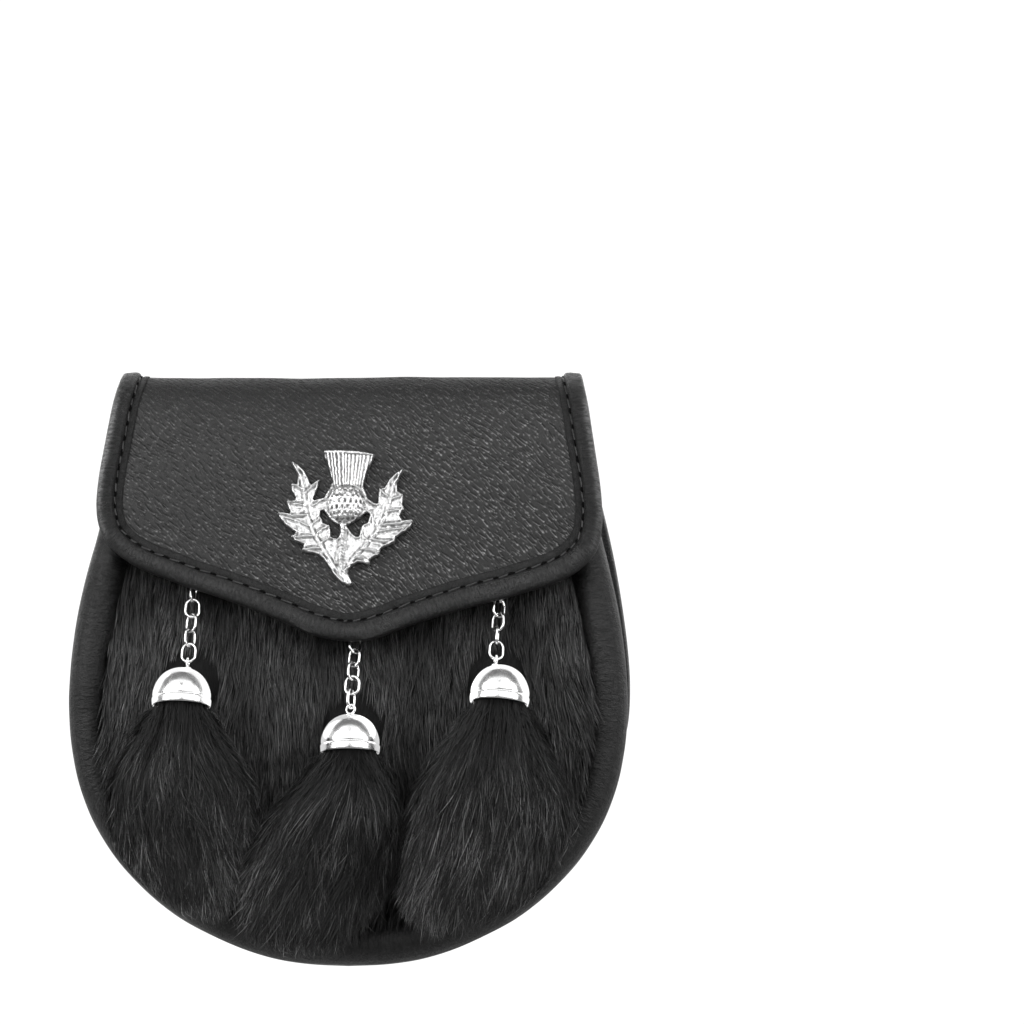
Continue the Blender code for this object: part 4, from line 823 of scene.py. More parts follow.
def edge_lengths():
    world_points = sheet.point(HALF_EDGE[:, 0], HALF_EDGE[:, 1])
    return np.concatenate([[0.0], np.cumsum(np.linalg.norm(np.diff(world_points, axis=0), axis=1))])


EDGE_LENGTH = edge_lengths()
STITCH_COUNT = round(2 * EDGE_LENGTH[-1] / 5.85)
STITCH_PITCH = 2 * EDGE_LENGTH[-1] / STITCH_COUNT


def make_binding():
    width, inner, stitch, inner_h, on_flap = edge_widths(HALF_EDGE, EDGE_OUT)
    hf = SHEET_T / 2
    rings, uvs = [], []
    total = EDGE_LENGTH[-1]
    for k, (i, sg) in enumerate(zip(EDGE_ORDER, EDGE_SIGN)):
        w, wb, a, hb = width[i], inner[i], stitch[i], inner_h[i]
        run = EDGE_LENGTH[i] if sg > 0 else 2 * total - EDGE_LENGTH[i]
        puff = 1.0 + 0.10 * math.sin(run / 8.3 + 1.3 * math.sin(run / 21.0)) + 0.05 * math.sin(run / 3.1 + 0.7)
        flat = lerp(0.8, 1.0, on_flap[i])
        # the leather is drawn down at each needle hole and swells between them
        pull = 0.5 - 0.5 * math.cos(2 * math.pi * run / STITCH_PITCH)
        seam = math.exp(-((min(run, 2 * total - run) - 0.4) / 0.45) ** 2)
        dent = 0.7 * seam
        fold = math.exp(-((HALF_EDGE[i, 1] - S_FOLD_TOP) / 8.5) ** 2)
        key = [
            (-w, hf - 0.25), (-w, hf + 0.22), (-w + 0.3, hf + 0.36 * flat), (-(w + a) / 2 - 0.1, hf + 0.44 * flat),
            (-a - 0.95, hf + (0.34 + 0.12 * pull) * flat), (-a - 0.42, hf + 0.10 + 0.12 * pull), (-a + 0.05, hf + 0.04),
            (-a + 0.42, hf + 0.66 + 0.34 * pull), (-a + 0.86, hf + (1.36 + 0.22 * pull) * flat - dent),
            (-a * 0.68, hf + 1.68 * puff * flat - dent), (-a * 0.45, hf + 1.60 * puff * flat - dent),
            (-a * 0.23, hf + lerp(1.14, 1.52, fold) * puff * flat - dent), (-0.62, hf + lerp(0.52, 1.30, fold) - 0.6 * dent),
            (-0.1, lerp(hf * 0.4 + 0.1, hf + 0.62, fold)), (0.0, lerp((hf - hb) / 2, hf * 0.3, fold)), (-0.12, -hb * 0.6 - 0.2), (-0.7, -hb - 0.55), (-wb * 0.45, -hb - 1.05),
            (-wb + 0.4, -hb - 0.9), (-wb, -hb - 0.5), (-wb, -hb + 0.1),
        ]
        sec = spline(key, 38, steps=6)
        rings.append(sec)
        uvs.append((run, np.concatenate([[0], np.cumsum(np.linalg.norm(np.diff(sec, axis=0), axis=1))])))
    sec = np.array(rings)
    m, n = sec.shape[:2]
    run = np.array([u[0] for u in uvs])
    across = np.array([u[1] for u in uvs])
    # wrinkles pressed across the strip, strongest on the outer roll
    roll = np.clip(1.0 - np.abs((sec[..., 0] + 2.6) / 3.6), 0, 1)
    wr = ripple(11, 2.0, np.repeat(run[:, None], n, 1) + 0.8 * np.sin(across / 2.0), across * 0.12, waves=14)
    wr = wr + 0.8 * ripple(12, 2.6, np.repeat(run[:, None], n, 1) + 1.1 * across, across * 0.9, waves=14)
    lift = 0.10 * wr * roll * np.where(sec[..., 1] > 0, 1.0, 0.3)
    h = sec[..., 1] + lift
    # painted shade: dark in the stitch groove, along the strip's inner edge and along the lower flap's outer rim; the
    # inner strip is also made darker
    uneven = 0.12 * ripple(13, 3.4, np.repeat(run[:, None], n, 1), across)
    inward = -sec[..., 0] - stitch[EDGE_ORDER][:, None] - 0.10 - uneven
    groove = np.exp(-(inward / 0.74) ** 4)
    groove = np.maximum(groove, (0.34 + 0.18 * ripple(14, 5.0, np.repeat(run[:, None], n, 1), across)) * (inward > 0))
    lip = np.exp(-((-sec[..., 0] - width[EDGE_ORDER][:, None] + 0.05) / 0.34) ** 2)
    groove = np.maximum(groove, 0.95 * lip)
    rim = np.exp(-((-sec[..., 0]) / 0.9) ** 2) * smooth((HALF_EDGE[EDGE_ORDER][:, 1] - S_FOLD_TOP - 45.0) / 20.0)[:, None]
    groove = np.maximum(groove, 0.75 * rim)
    groove = groove * (sec[..., 1] > 0)
    # where the roll's outer flank gets a painted highlight: the upright sides, most on the flap's left
    upright = smooth((EDGE_OUT[EDGE_ORDER][:, 0] - 0.75) / 0.2)
    low_ = HALF_EDGE[EDGE_ORDER][:, 1] - S_FOLD_TOP
    roll_highlight = upright * smooth((low_ - 9.0) / 10.0) * (1.0 - 0.45 * smooth((low_ - 42.0) / 14.0)) * np.where(EDGE_SIGN < 0, 1.0, 0.60)
    roll_highlight = roll_highlight[:, None] * np.exp(-((sec[..., 0] + 1.15) / 1.05) ** 2)
    # elsewhere on the flap a soft painted highlight along the roll's crest
    crest = smooth((low_ - 30.0) / 30.0) * (1.0 - upright) * 0.09
    roll_highlight = np.maximum(roll_highlight, crest[:, None] * np.exp(-((sec[..., 0] + 3.3) / 1.2) ** 2)) * (sec[..., 1] > 0)
    q = HALF_EDGE[EDGE_ORDER][:, None, :] + EDGE_OUT[EDGE_ORDER][:, None, :] * sec[..., :1]
    pts = sheet.at(q[..., 0] * EDGE_SIGN[:, None], q[..., 1], h)
    inner_pts = []
    for off, hh in ((-1.6, -1), (-1.0, 0), (-1.6, 1)):
        height = np.where(hh < 0, -inner_h[EDGE_ORDER] + 0.1, np.where(hh > 0, hf - 0.1, 0.0))
        qq = HALF_EDGE[EDGE_ORDER] + EDGE_OUT[EDGE_ORDER] * off
        inner_pts.append(sheet.at(qq[:, 0] * EDGE_SIGN, qq[:, 1], height))
    pts = np.concatenate([pts, np.stack(inner_pts, 1)], 1)
    n2 = pts.shape[1]
    quads = grid_faces(m, n2, wrap_rows=True, wrap_cols=True, flip=True)
    uv = np.zeros((m, n2, 2))
    uv[:, :n, 0] = run[:, None] / 100.0
    uv[:, :n, 1] = across / 100.0
    uv[:, n:, 0] = run[:, None] / 100.0
    uv[:, n:, 1] = 0.3
    dark = np.concatenate([groove, np.zeros((m, n2 - n))], 1)
    roll_highlight = np.concatenate([roll_highlight, np.zeros((m, n2 - n))], 1)
    obj = make_mesh("edge_binding_roll", pts, quads, uv=uv.reshape(-1, 2),
                    attrs={"groove": np.clip(dark, 0, 1), "roll_highlight": np.clip(roll_highlight, 0, 1)})
    return ride(obj, M_BINDING, "edge_binding", slot="smooth_leather")


make_binding()


def edge_at(run):
    """Run length along the half edge, and side, for a run length round the whole edge."""
    total = EDGE_LENGTH[-1]
    run = run % (2 * total)
    if run <= total:
        return run, 1.0
    return 2 * total - run, -1.0


def edge_sample(run, offset_extra, height):
    length, sg = edge_at(run)
    width, _, stitch, _, on_flap = EDGE_W
    q = np.array([np.interp(length, EDGE_LENGTH, HALF_EDGE[:, 0]), np.interp(length, EDGE_LENGTH, HALF_EDGE[:, 1])])
    o = unit(np.array([np.interp(length, EDGE_LENGTH, EDGE_OUT[:, 0]),
                       np.interp(length, EDGE_LENGTH, EDGE_OUT[:, 1])]))
    a = np.interp(length, EDGE_LENGTH, stitch)
    q = q + o * (-a + offset_extra)
    return sheet.at(q[0] * sg, q[1], height)


EDGE_W = edge_widths(HALF_EDGE, EDGE_OUT)


def make_stitches():
    """Slanted thread stitches in a groove, with a near-black disc at each end standing for the needle hole's shade
    (painted shade).
    """
    threads, holes = Parts(), Parts()
    rng = np.random.default_rng(21)
    hf = SHEET_T / 2
    for k in range(STITCH_COUNT):
        mid = (k + 0.5) * STITCH_PITCH
        half = STITCH_PITCH * rng.uniform(0.40, 0.44)
        slant = rng.uniform(0.10, 0.30)
        lift = rng.uniform(0.22, 0.36)
        u = np.linspace(-1, 1, 9)
        pts = [edge_sample(mid + half * ui, slant * ui, hf + lift * (1 - abs(ui) ** 2.6) - 0.05) for ui in u]
        threads.add(*tube(pts, rng.uniform(0.26, 0.36) * (1 - 0.3 * np.abs(u) ** 3), 7), value=rng.uniform(0, 1))
    for k in range(STITCH_COUNT):
        centre = k * STITCH_PITCH + rng.uniform(-0.1, 0.1)
        c0 = edge_sample(centre, 0, hf + 0.3)
        c1 = edge_sample(centre + 0.5, 0, hf + 0.3)
        d = unit(c1 - c0)
        nrm = unit(edge_sample(centre, 0, hf + 1.3) - c0)
        e = np.cross(nrm, d)
        long, short = rng.uniform(0.9, 1.5), rng.uniform(0.38, 0.56)
        lobes = rng.uniform(0.82, 1.15, 12)
        verts = [c0 + nrm * 0.04]
        for j in range(12):
            a = 2 * math.pi * j / 12
            verts.append(c0 + d * (long * math.cos(a) * lobes[j]) + e * (short * math.sin(a) * lobes[j]) + nrm * 0.13)
        low = [c0 - nrm * 0.5]
        tris = [(0, j + 1, (j + 1) % 12 + 1) for j in range(12)]
        tris += [(13, (j + 1) % 12 + 1, j + 1) for j in range(12)]
        holes.add(verts + low, tris=tris)
    ride(threads.make("edge_stitches"), M_THREAD, slot="smooth_leather")
    ride(holes.make("edge_needle_hole_shade"), M_HOLE, slot="smooth_leather")


make_stitches()


# ------------------------------------------------------- gusset and front roll
N_GUSSET = 190
FRONT_HALF = spline([(w, d) for d, w in FRONT_OUTLINE], N_GUSSET)
GUSSET_TOP = 22.0
back_top = [(table_value(BACK_OUTLINE, GUSSET_TOP, 1), GUSSET_TOP)]
back_top += [(w, d) for d, w in reversed(BACK_OUTLINE) if d >= 30.0]
BACK_HALF = spline(back_top, N_GUSSET)


def down_outward(points):
    before = np.concatenate([points[:1], points[:-1]])
    after = np.concatenate([points[1:], [(-points[-2][0], points[-2][1])]])
    t = unit(after - before)
    return np.stack([t[:, 1], -t[:, 0]], 1)


FRONT_HALF = FRONT_HALF + down_outward(FRONT_HALF) * (0.8 * smooth((FRONT_HALF[:, 1] - 112.0) / 40.0))[:, None]


def make_gusset():
    nf, nb = down_outward(FRONT_HALF), down_outward(BACK_HALF)
    crest = table_value(ROLL_CREST, FRONT_HALF[:, 1], 1)
    depth = (crest - BACK_Y - 2.2) / (-49.0 - BACK_Y - 2.2)
    wide = 1.0 + 0.33 * np.abs(nf[:, 1]) ** 2
    lines = []
    for weight, out, y in GUSSET_SECTION:
        base = lerp(BACK_HALF, FRONT_HALF, weight)
        normal = unit(lerp(nb, nf, weight))
        stretch = wide if weight > 0.85 and out < -2.0 else np.ones_like(wide)
        p = base + normal * (out * stretch)[:, None]
        yy = np.full(len(p), y) if weight == 0.0 else -8.3 + (y + 8.3) * depth
        lines.append(np.stack([p[:, 0], yy, p[:, 1]], 1))
    lines = np.stack(lines, 1)
    n = unit(lerp(nf, nb, 0.4))
    count, sec_n = N_GUSSET, 30
    outer, inner_, across = [], [], []
    run = np.concatenate([[0], np.cumsum(np.linalg.norm(np.diff(FRONT_HALF, axis=0), axis=1))])
    for i in range(count):
        sec = spline(lines[i], sec_n, steps=6)
        plane = np.stack([n[i, 0] * sec[:, 0] + n[i, 1] * sec[:, 2], sec[:, 1]], 1)
        t = unit(np.gradient(plane, axis=0))
        m = np.stack([-t[:, 1], t[:, 0]], 1)
        a = np.concatenate([[0], np.cumsum(np.linalg.norm(np.diff(plane, axis=0), axis=1))])
        across.append(a)
        wr = 0.07 * ripple(31, 2.6, run[i] + 0.9 * np.sin(a / 6.0), a * 0.10, waves=14)
        wr = wr + 0.18 * ripple(32, 30.0, np.full_like(a, run[i]), a)
        amount = smooth((a - 8.0) / 8.0) * smooth((a[-1] - 3.0 - a) / 4.0)
        for sg, target in ((1, outer), (-1, inner_)):
            off = m * (sg * GUSSET_T / 2) + m * (wr * amount if sg < 0 else 0 * wr)[:, None] * -1.0
            p = sec + np.stack([n[i, 0] * off[:, 0], off[:, 1], n[i, 1] * off[:, 0]], 1)
            target.append(p)
    outer, inner_ = np.array(outer), np.array(inner_)
    ring = np.concatenate([outer, inner_[:, ::-1]], 1)
    run2 = np.repeat(run[:, None], ring.shape[1], 1)
    across = np.array(across)
    acr = np.concatenate([across + 2.0 * across[:, -1:], across[:, ::-1]], 1)
    mirror = ring[-2::-1].copy()
    mirror[..., 0] *= -1
    ring[-1, :, 0] = 0.0
    ring = np.concatenate([ring, mirror])
    run_all = np.concatenate([run2, 2 * run[-1] - run2[-2::-1]])
    acr_all = np.concatenate([acr, acr[-2::-1]])
    pts = np.stack([ring[..., 0], ring[..., 1], TOP - ring[..., 2]], -1)
    rows, cols = pts.shape[:2]
    quads = grid_faces(rows, cols, wrap_cols=True)
    caps = []
    for r in (0, rows - 1):
        for j in range(sec_n - 1):
            q = (r * cols + j, r * cols + j + 1, r * cols + cols - 2 - j, r * cols + cols - 1 - j)
            caps.append(q if r else q[::-1])
    uv = np.stack([run_all, acr_all], -1).reshape(-1, 2) / 100.0
    obj = make_mesh("gusset_and_roll", pts, np.concatenate([quads, np.array(caps)]), uv=uv)
    bm = bmesh.new()
    bm.from_mesh(obj.data)
    bmesh.ops.recalc_face_normals(bm, faces=bm.faces)
    bm.to_mesh(obj.data)
    bm.free()
    return ride(obj, M_GUSSET, "gusset", slot="smooth_leather")


make_gusset()


# -------------------------------------------------------------------- pelt
def pelt_rows():
    n = down_outward(FRONT_HALF)
    inset = lerp(PELT_INSET, PELT_INSET_BOTTOM, np.abs(n[:, 1]) ** 2)
    q = FRONT_HALF - n * inset[:, None]
    crest = table_value(ROLL_CREST, FRONT_HALF[:, 1], 1)
    keep = q[:, 1] >= MOUTH_DROP
    return q[keep], crest[keep]


PELT_EDGE, PELT_CREST = pelt_rows()
PELT_LOW = PELT_EDGE[:, 1].max()


def pelt_half(drop):
    return np.maximum(np.interp(drop, PELT_EDGE[:, 1], PELT_EDGE[:, 0]), 3.0)


def pelt_back(x, drop):
    crest = np.interp(drop, PELT_EDGE[:, 1], PELT_CREST)
    depth = (crest - BACK_Y - 2.2) / (-49.0 - BACK_Y - 2.2)
    yb = -8.3 + (-41.4 + 8.3) * depth - GUSSET_T / 2 - 0.4
    r = np.minimum(1.0, np.abs(x) / pelt_half(drop))
    return yb - table_value(PELT_TABLE, drop, 1) * (1 - r * r), r


def pelt_front(x, drop):
    y, r = pelt_back(x, drop)
    return y - table_value(PELT_TABLE, drop, 2) * (0.55 + 0.45 * (1 - r * r))


def rest_y(x, drop):
    inside = (drop < PELT_LOW) & (np.abs(x) < pelt_half(drop))
    roll = table_value(ROLL_CREST, np.minimum(drop, 200.0), 1) - 0.1
    return np.where(inside, pelt_front(x, np.minimum(drop, PELT_LOW)), roll)


def ribbons(name, pts, width, facing, tone, material, nodes, slot="black_fur", taper=0.55):
    """Flat tapered strands as one mesh. pts (N, K, 3), width (N,), facing (N, 3), tone (N, K)."""
    n, k, _ = pts.shape
    tangent = unit(np.gradient(pts, axis=1))
    side = unit(np.cross(tangent, facing[:, None, :]))
    u = np.linspace(0, 1, k)
    w = width[:, None] * (1.0 - (1 - taper) * u[None, :] ** 1.6) / 2
    w = w * (0.55 + 0.45 * np.minimum(1.0, u[None, :] / 0.2))
    left = pts[:, :-1] - side[:, :-1] * w[:, :-1, None]
    right = pts[:, :-1] + side[:, :-1] * w[:, :-1, None]
    pairs = np.stack([left, right], 2).reshape(n, 2 * (k - 1), 3)
    verts = np.concatenate([pairs, pts[:, -1:]], 1)
    per = 2 * (k - 1) + 1
    base = (np.arange(n) * per)[:, None]
    quads = []
    for j in range(k - 2):
        quads.append(base + np.array([[2 * j, 2 * j + 1, 2 * j + 3, 2 * j + 2]]))
    quads = np.stack(quads, 1).reshape(-1, 4) if quads else None
    tris = base + np.array([[2 * k - 4, 2 * k - 3, 2 * k - 2]])
    tones = np.concatenate([np.repeat(tone[:, :-1], 2, 1), tone[:, -1:]], 1)
    return make_mesh(name, verts.reshape(-1, 3), quads, tris, attrs={"tone": np.clip(tones, 0, 1).ravel()})


def join_with(base_obj, strands, name):
    """One object of a closed under-layer and its strands, each with its own material."""
    mats = [base_obj.data.materials[0], strands.data.materials[0]]
    bm = bmesh.new()
    bm.from_mesh(base_obj.data)
    n0 = len(bm.faces)
    bm.from_mesh(strands.data)
    bm.faces.ensure_lookup_table()
    for f in bm.faces[n0:]:
        f.material_index = 1
    mesh = bpy.data.meshes.new(name)
    bm.to_mesh(mesh)
    bm.free()
    mesh.shade_smooth()
    for m in mats:
        mesh.materials.append(m)
    obj = bpy.data.objects.new(name, mesh)
    bpy.context.scene.collection.objects.link(obj)
    for o in (base_obj, strands):
        bpy.data.objects.remove(o, do_unlink=True)
    return obj


def flap_edge_drop(x):
    """Drop of the flap's lower edge at each x."""
    rows = [(w, d) for d, w in FLAP_OUTLINE if d >= 43.0][::-1]
    xs, ds = [r[0] for r in rows], [r[1] for r in rows]
    return np.interp(np.abs(x), xs, ds)


def make_pelt():
    rows, cols = 66, 56
    drops = np.linspace(MOUTH_DROP + 0.5, PELT_LOW - 0.2, rows)
    r = np.sin(np.radians(np.linspace(-90, 90, cols)))
    x = pelt_half(drops)[:, None] * r[None, :]
    d = np.repeat(drops[:, None], cols, 1)
    y_front = pelt_front(x, d) + 1.4
    y_back = pelt_back(x, d)[0]
    y_front = np.minimum(y_front, y_back - 0.3)
    front = np.stack([x, y_front, TOP - d], -1)
    back = np.stack([x, y_back, TOP - d], -1)
    n = rows * cols
    loop = np.array([i * cols for i in range(rows)] + [(rows - 1) * cols + j for j in range(1, cols)]
                    + [i * cols + cols - 1 for i in range(rows - 2, -1, -1)] + [j for j in range(cols - 2, 0, -1)])
    nxt = np.roll(loop, -1)
    quads = [grid_faces(rows, cols, flip=True), grid_faces(rows, cols, start=n),
             np.stack([loop, nxt, nxt + n, loop + n], 1)[:, ::-1]]
    base = make_mesh("pelt_base", np.concatenate([front.reshape(-1, 3), back.reshape(-1, 3)]),
                     np.concatenate(quads), attrs={"tone": np.zeros(2 * n)})
    base.data.materials.append(M_SKIN)

    rng = np.random.default_rng(51)
    want = 35000

    def scatter(n, grow=0.0):
        xs, ds, have = [], [], 0
        while have < n:
            cx = rng.uniform(-88, 88, 60000)
            cd = rng.uniform(48.0, PELT_LOW + 1.0, 60000)
            ok = (np.abs(cx) < pelt_half(np.minimum(cd, PELT_LOW)) + 1.2 + grow) & (cd > flap_edge_drop(cx) - 9.0 - grow)
            xs.append(cx[ok]); ds.append(cd[ok])
            have += len(xs[-1])
        return np.concatenate(xs)[:n], np.concatenate(ds)[:n]

    cx, cd = scatter(want)
    # tufts: each strand leans towards the nearest tuft's tip
    tx, td = scatter(1500, 4.0)
    kd = KDTree(len(tx))
    for i, (qx, qd) in enumerate(zip(tx, td)):
        kd.insert((qx, qd, 0.0), i)
    kd.balance()
    tuft = np.array([kd.find((qx + rng.normal(0, 0.7), qd, 0.0))[1] for qx, qd in zip(cx, cd)])
    t_swing = 0.07 * rng.normal(size=len(tx))
    t_tone = rng.uniform(0.25, 1.0, len(tx)) ** 1.5
    t_lift = rng.uniform(0.5, 1.3, len(tx))
    t_len = rng.uniform(0.8, 1.25, len(tx))
    swing = 0.11 * ripple(61, 46.0, cx, cd) + 0.05 * ripple(62, 17.0, cx, cd * 0.5) + 0.045 * rng.normal(size=want)
    swing += 0.16 * np.clip(cx / 80.0, -1, 1) ** 3 + t_swing[tuft]
    length = 9.4 * (1 + 0.18 * ripple(63, 18.0, cx, cd)) * rng.uniform(0.6, 1.2, want) * t_len[tuft]
    lift = 1.5 * rng.uniform(0.3, 1.2, want) * t_lift[tuft]
    k = 4
    u = np.linspace(0, 1, k)
    px = cx[:, None] + np.sin(swing)[:, None] * length[:, None] * (u + 0.25 * u ** 2)[None, :]
    pd = cd[:, None] + np.cos(swing)[:, None] * length[:, None] * u[None, :]
    pull = rng.uniform(0.0, 0.42, want)
    tip = tx[tuft] + np.sin(swing) * length
    px += ((tip - px[:, -1]) * pull)[:, None] * (u ** 1.6)[None, :]
    half_now = pelt_half(np.minimum(pd, PELT_LOW))
    ground = pelt_front(np.clip(px, -half_now, half_now), np.minimum(pd, PELT_LOW))
    # past the pelt's edge the hair lies up against the leather roll
    past = np.maximum(np.abs(px) - half_now, 0.0) + 1.4 * np.maximum(pd - PELT_LOW, 0.0)
    roll = table_value(ROLL_CREST, np.minimum(pd, 200.0), 1) + 0.5
    ground = lerp(ground, np.minimum(roll, ground), smooth(past / 4.5))
    py = ground + 0.9 - (0.2 + lift[:, None] * np.sin(u * math.pi * 0.62)[None, :] ** 0.9)
    py[:, 0] = ground[:, 0] + 1.7
    pts = np.stack([px, py, TOP - pd], -1)
    under = np.zeros(want, bool)
    for _, _, _, _, bx, bd, _ in CHAINS:
        inside_bell = (((px - bx) / 10.0) ** 2 + ((pd - bd - 10.0) / 9.5) ** 2) < 1.0
        under |= inside_bell[:, 1:].any(1)
    facing = unit(np.stack([rng.normal(0, 0.55, want), -np.ones(want), rng.normal(0, 0.35, want)], 1))
    # strand tone: random lighter strands in patches and tufts; painted shadow just below the flap at the left, painted
    # light on the lower left, lighter towards the right edge, and darker at the roots
    patch = 0.55 + 0.45 * ripple(66, 24.0, cx, cd * 0.4)
    left = smooth((-cx - 18.0) / 45.0) * lerp(-0.6, 1.25, smooth((cd - 70.0) / 22.0))
    tone = rng.beta(0.8, 2.6, want) * (0.3 + 0.9 * np.clip(patch, 0, 1)) * (0.45 + 0.75 * t_tone[tuft])
    tone = tone * (1.0 + 0.5 * left + 0.25 * smooth((cx - 45.0) / 25.0)) + 0.05 * left
    tone = tone[:, None] * (0.25 + 0.75 * u)[None, :]
    keep = ~under
    strands = ribbons("pelt_strands", pts[keep], rng.uniform(0.13, 0.24, want)[keep], facing[keep], tone[keep], M_FUR, ())
    strands.data.materials.append(M_FUR)
    obj = join_with(base, strands, "fur_panel_pelt")
    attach(obj, "root")
    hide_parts("fur_panel")


make_pelt()


# ------------------------------------------------- back fittings: loop and rings
def make_loop():
    rows, cols = 170, 90
    drops = np.concatenate([np.linspace(35.6, 126.6, rows)])
    t = np.linspace(-1, 1, cols)
    half = table_value(LOOP_ROWS, drops, 1)
    rise = table_value(LOOP_ROWS, drops, 2)
    y = table_value(LOOP_ROWS, drops, 3)
    x = half[:, None] * t[None, :]
    d = drops[:, None] - rise[:, None] * (1 - t[None, :] ** 2)
    yy = np.repeat(y[:, None], cols, 1)
    ty, td = np.gradient(yy, axis=0), np.gradient(d, axis=0)
    ln = np.hypot(ty, td)
    ny, nd = td / ln, -ty / ln
    run = np.cumsum(np.hypot(np.gradient(y), np.gradient(drops)))
    # distance from the cut edge, for hems, holes and the pale edge
    side_gap = (half[:, None] - np.abs(x)) * np.where(drops > 93.0, 0.79, 1.0)[:, None]
    top_gap = np.repeat((drops - 35.6)[:, None], cols, 1)
    tail_gap = np.repeat((126.6 - drops)[:, None] * 0.7, cols, 1) + side_gap
    gap = np.minimum(np.minimum(side_gap, top_gap), tail_gap)
    low = smooth((drops - 90.5) / 1.5)[:, None]
    h = 0.10 * ripple(71, 14.0, x, d) + 0.0 * x
    h = h - 0.28 * (1 - smooth(gap / 0.6))
    h = h + low * (0.50 * smooth(gap / 0.5) * (1 - smooth((gap - 1.7) / 0.5)) - 0.22 * np.exp(-((gap - 2.5) / 0.35) ** 2))
    holes = []
    for k in range(12):
        holes.append((lerp(-24.2, 24.2, k / 11), 90.6, 0.80))
    for row_drop, n, half_w in ((39.6, 13, 21.8), (44.9, 13, 21.6)):
        for k in range(n):
            xx = lerp(-half_w, half_w, k / (n - 1))
            r = table_value(LOOP_ROWS, row_drop - 3.5, 2)
            holes.append((xx, row_drop - r * (1 - (xx / 25.5) ** 2) - 0.0, 0.72))
    for sgn in (-1, 1):
        for k in range(2):
            holes.append((sgn * (22.6 - 0.2 * k), 41.4 + 1.8 * k, 0.5))
    pit = np.zeros_like(x)
    for hx, hd, radius in holes:
        pit = np.maximum(pit, np.exp(-(((x - hx) / radius) ** 2 + ((d - hd) / radius) ** 2)))
    for sgn in (-1, 1):
        for k in range(9):
            u = (k + 0.5) / 9
            hx, hd = sgn * lerp(24.6, 1.6, u), lerp(93.6, 122.6, u)
            ax = np.array([sgn * (1.6 - 24.6), 122.6 - 93.6]); ax = ax / np.linalg.norm(ax)
            along = (x - hx) * ax[0] + (d - hd) * ax[1]
            off = -(x - hx) * ax[1] + (d - hd) * ax[0]
            pit = np.maximum(pit, 0.9 * np.exp(-((along / 0.95) ** 4 + (off / 0.50) ** 2)))
    h = h - 0.75 * pit
    top_zone = smooth((drops - 38.6) / 0.6)[:, None] * (1 - smooth((d - 44.6 + rise[:, None] * 0) / 0.8))
    outer = np.stack([x, yy + ny * (LOOP_T / 2 + h), TOP - (d + nd * (LOOP_T / 2 + h))], -1)
    inner = np.stack([x, yy - ny * LOOP_T / 2, TOP - (d - nd * LOOP_T / 2)], -1)
    n = rows * cols
    loop = np.array([i * cols for i in range(rows)] + [(rows - 1) * cols + j for j in range(1, cols)]
                    + [i * cols + cols - 1 for i in range(rows - 2, -1, -1)] + [j for j in range(cols - 2, 0, -1)])
    nxt = np.roll(loop, -1)
    quads = [grid_faces(rows, cols), grid_faces(rows, cols, start=n, flip=True),
             np.stack([loop, nxt, nxt + n, loop + n], 1)]
    uv = np.stack([x, np.repeat(run[:, None], cols, 1) - rise[:, None] * (1 - t[None, :] ** 2)], -1).reshape(-1, 2) / 100
    pale = np.concatenate([((1 - smooth((gap - 0.1) / 0.45))).ravel(), np.zeros(n)])
    hem = np.concatenate([(low * smooth(gap / 0.4) * (1 - smooth((gap - 1.6) / 0.4))).ravel(), np.zeros(n)])
    pits = np.concatenate([pit.ravel(), np.zeros(n)])
    stitched_end_shade = np.concatenate([top_zone.ravel(), np.zeros(n)])
    obj = make_mesh("belt_loop_leather", np.concatenate([outer.reshape(-1, 3), inner.reshape(-1, 3)]),
                    np.concatenate(quads), uv=np.concatenate([uv, uv + 3.0]),
                    attrs={"pale": pale, "hem": hem, "pit": pits, "stitched_end_shade": stitched_end_shade})
    bm = bmesh.new()
    bm.from_mesh(obj.data)
    bmesh.ops.recalc_face_normals(bm, faces=bm.faces)
    bm.to_mesh(obj.data)
    bm.free()
    return ride(obj, M_LOOP, "belt_loop", slot="grained_leather")


make_loop()


def circle(centre, radius, basis, segments, stretch=0.0):
    """Closed points of a round or long link in the x-z plane of basis (3x3 numpy)."""
    a = 2 * math.pi * np.arange(segments) / segments
    if stretch <= 0.0:
        p = np.stack([radius * np.cos(a), 0 * a, radius * np.sin(a)], 1)
    else:
        p = np.stack([radius * np.cos(a), 0 * a, radius * np.sin(a)], 1)
        p[:, 2] += np.clip(np.sin(a) * 6.0, -1, 1) * stretch
        p = resample(np.concatenate([p, p[:1]]), segments + 1)[:-1]
    return p @ np.asarray(basis).T + np.asarray(centre)


def ring_tube(centre, radius, wire, basis, segments=64, sides=12, stretch=0.0):
    pts = circle(centre, radius, basis, segments, stretch)
    return tube(pts, wire / 2, sides, closed=True, up=np.asarray(basis)[:, 1])


for name, x, z in RINGS:
    ring = Parts()
    ring.add(*ring_tube((x, RING_Y, z), RING_RADIUS, RING_WIRE, np.eye(3), 120, 16))
    ride(ring.make(name + "_wire"), M_WIRE, name, slot="polished_metal")


# ---------------------------------------------------------------- badge
S_BADGE = sheet.s_flap(BADGE_DROP)
badge_normal = sheet.normal(0.0, S_BADGE)
badge_origin = sheet.point(0.0, S_BADGE) + badge_normal * (SHEET_T / 2 + 0.4)
badge_up = np.array([0.0, -badge_normal[2], badge_normal[1]])
if badge_up[2] < 0:
    badge_up = -badge_up
PX = 0.036754


def px(x, y):
    """A point of the drawn outline in badge millimetres (x right, z up)."""
    return ((x - 770) * PX, -(y - 830) * PX)


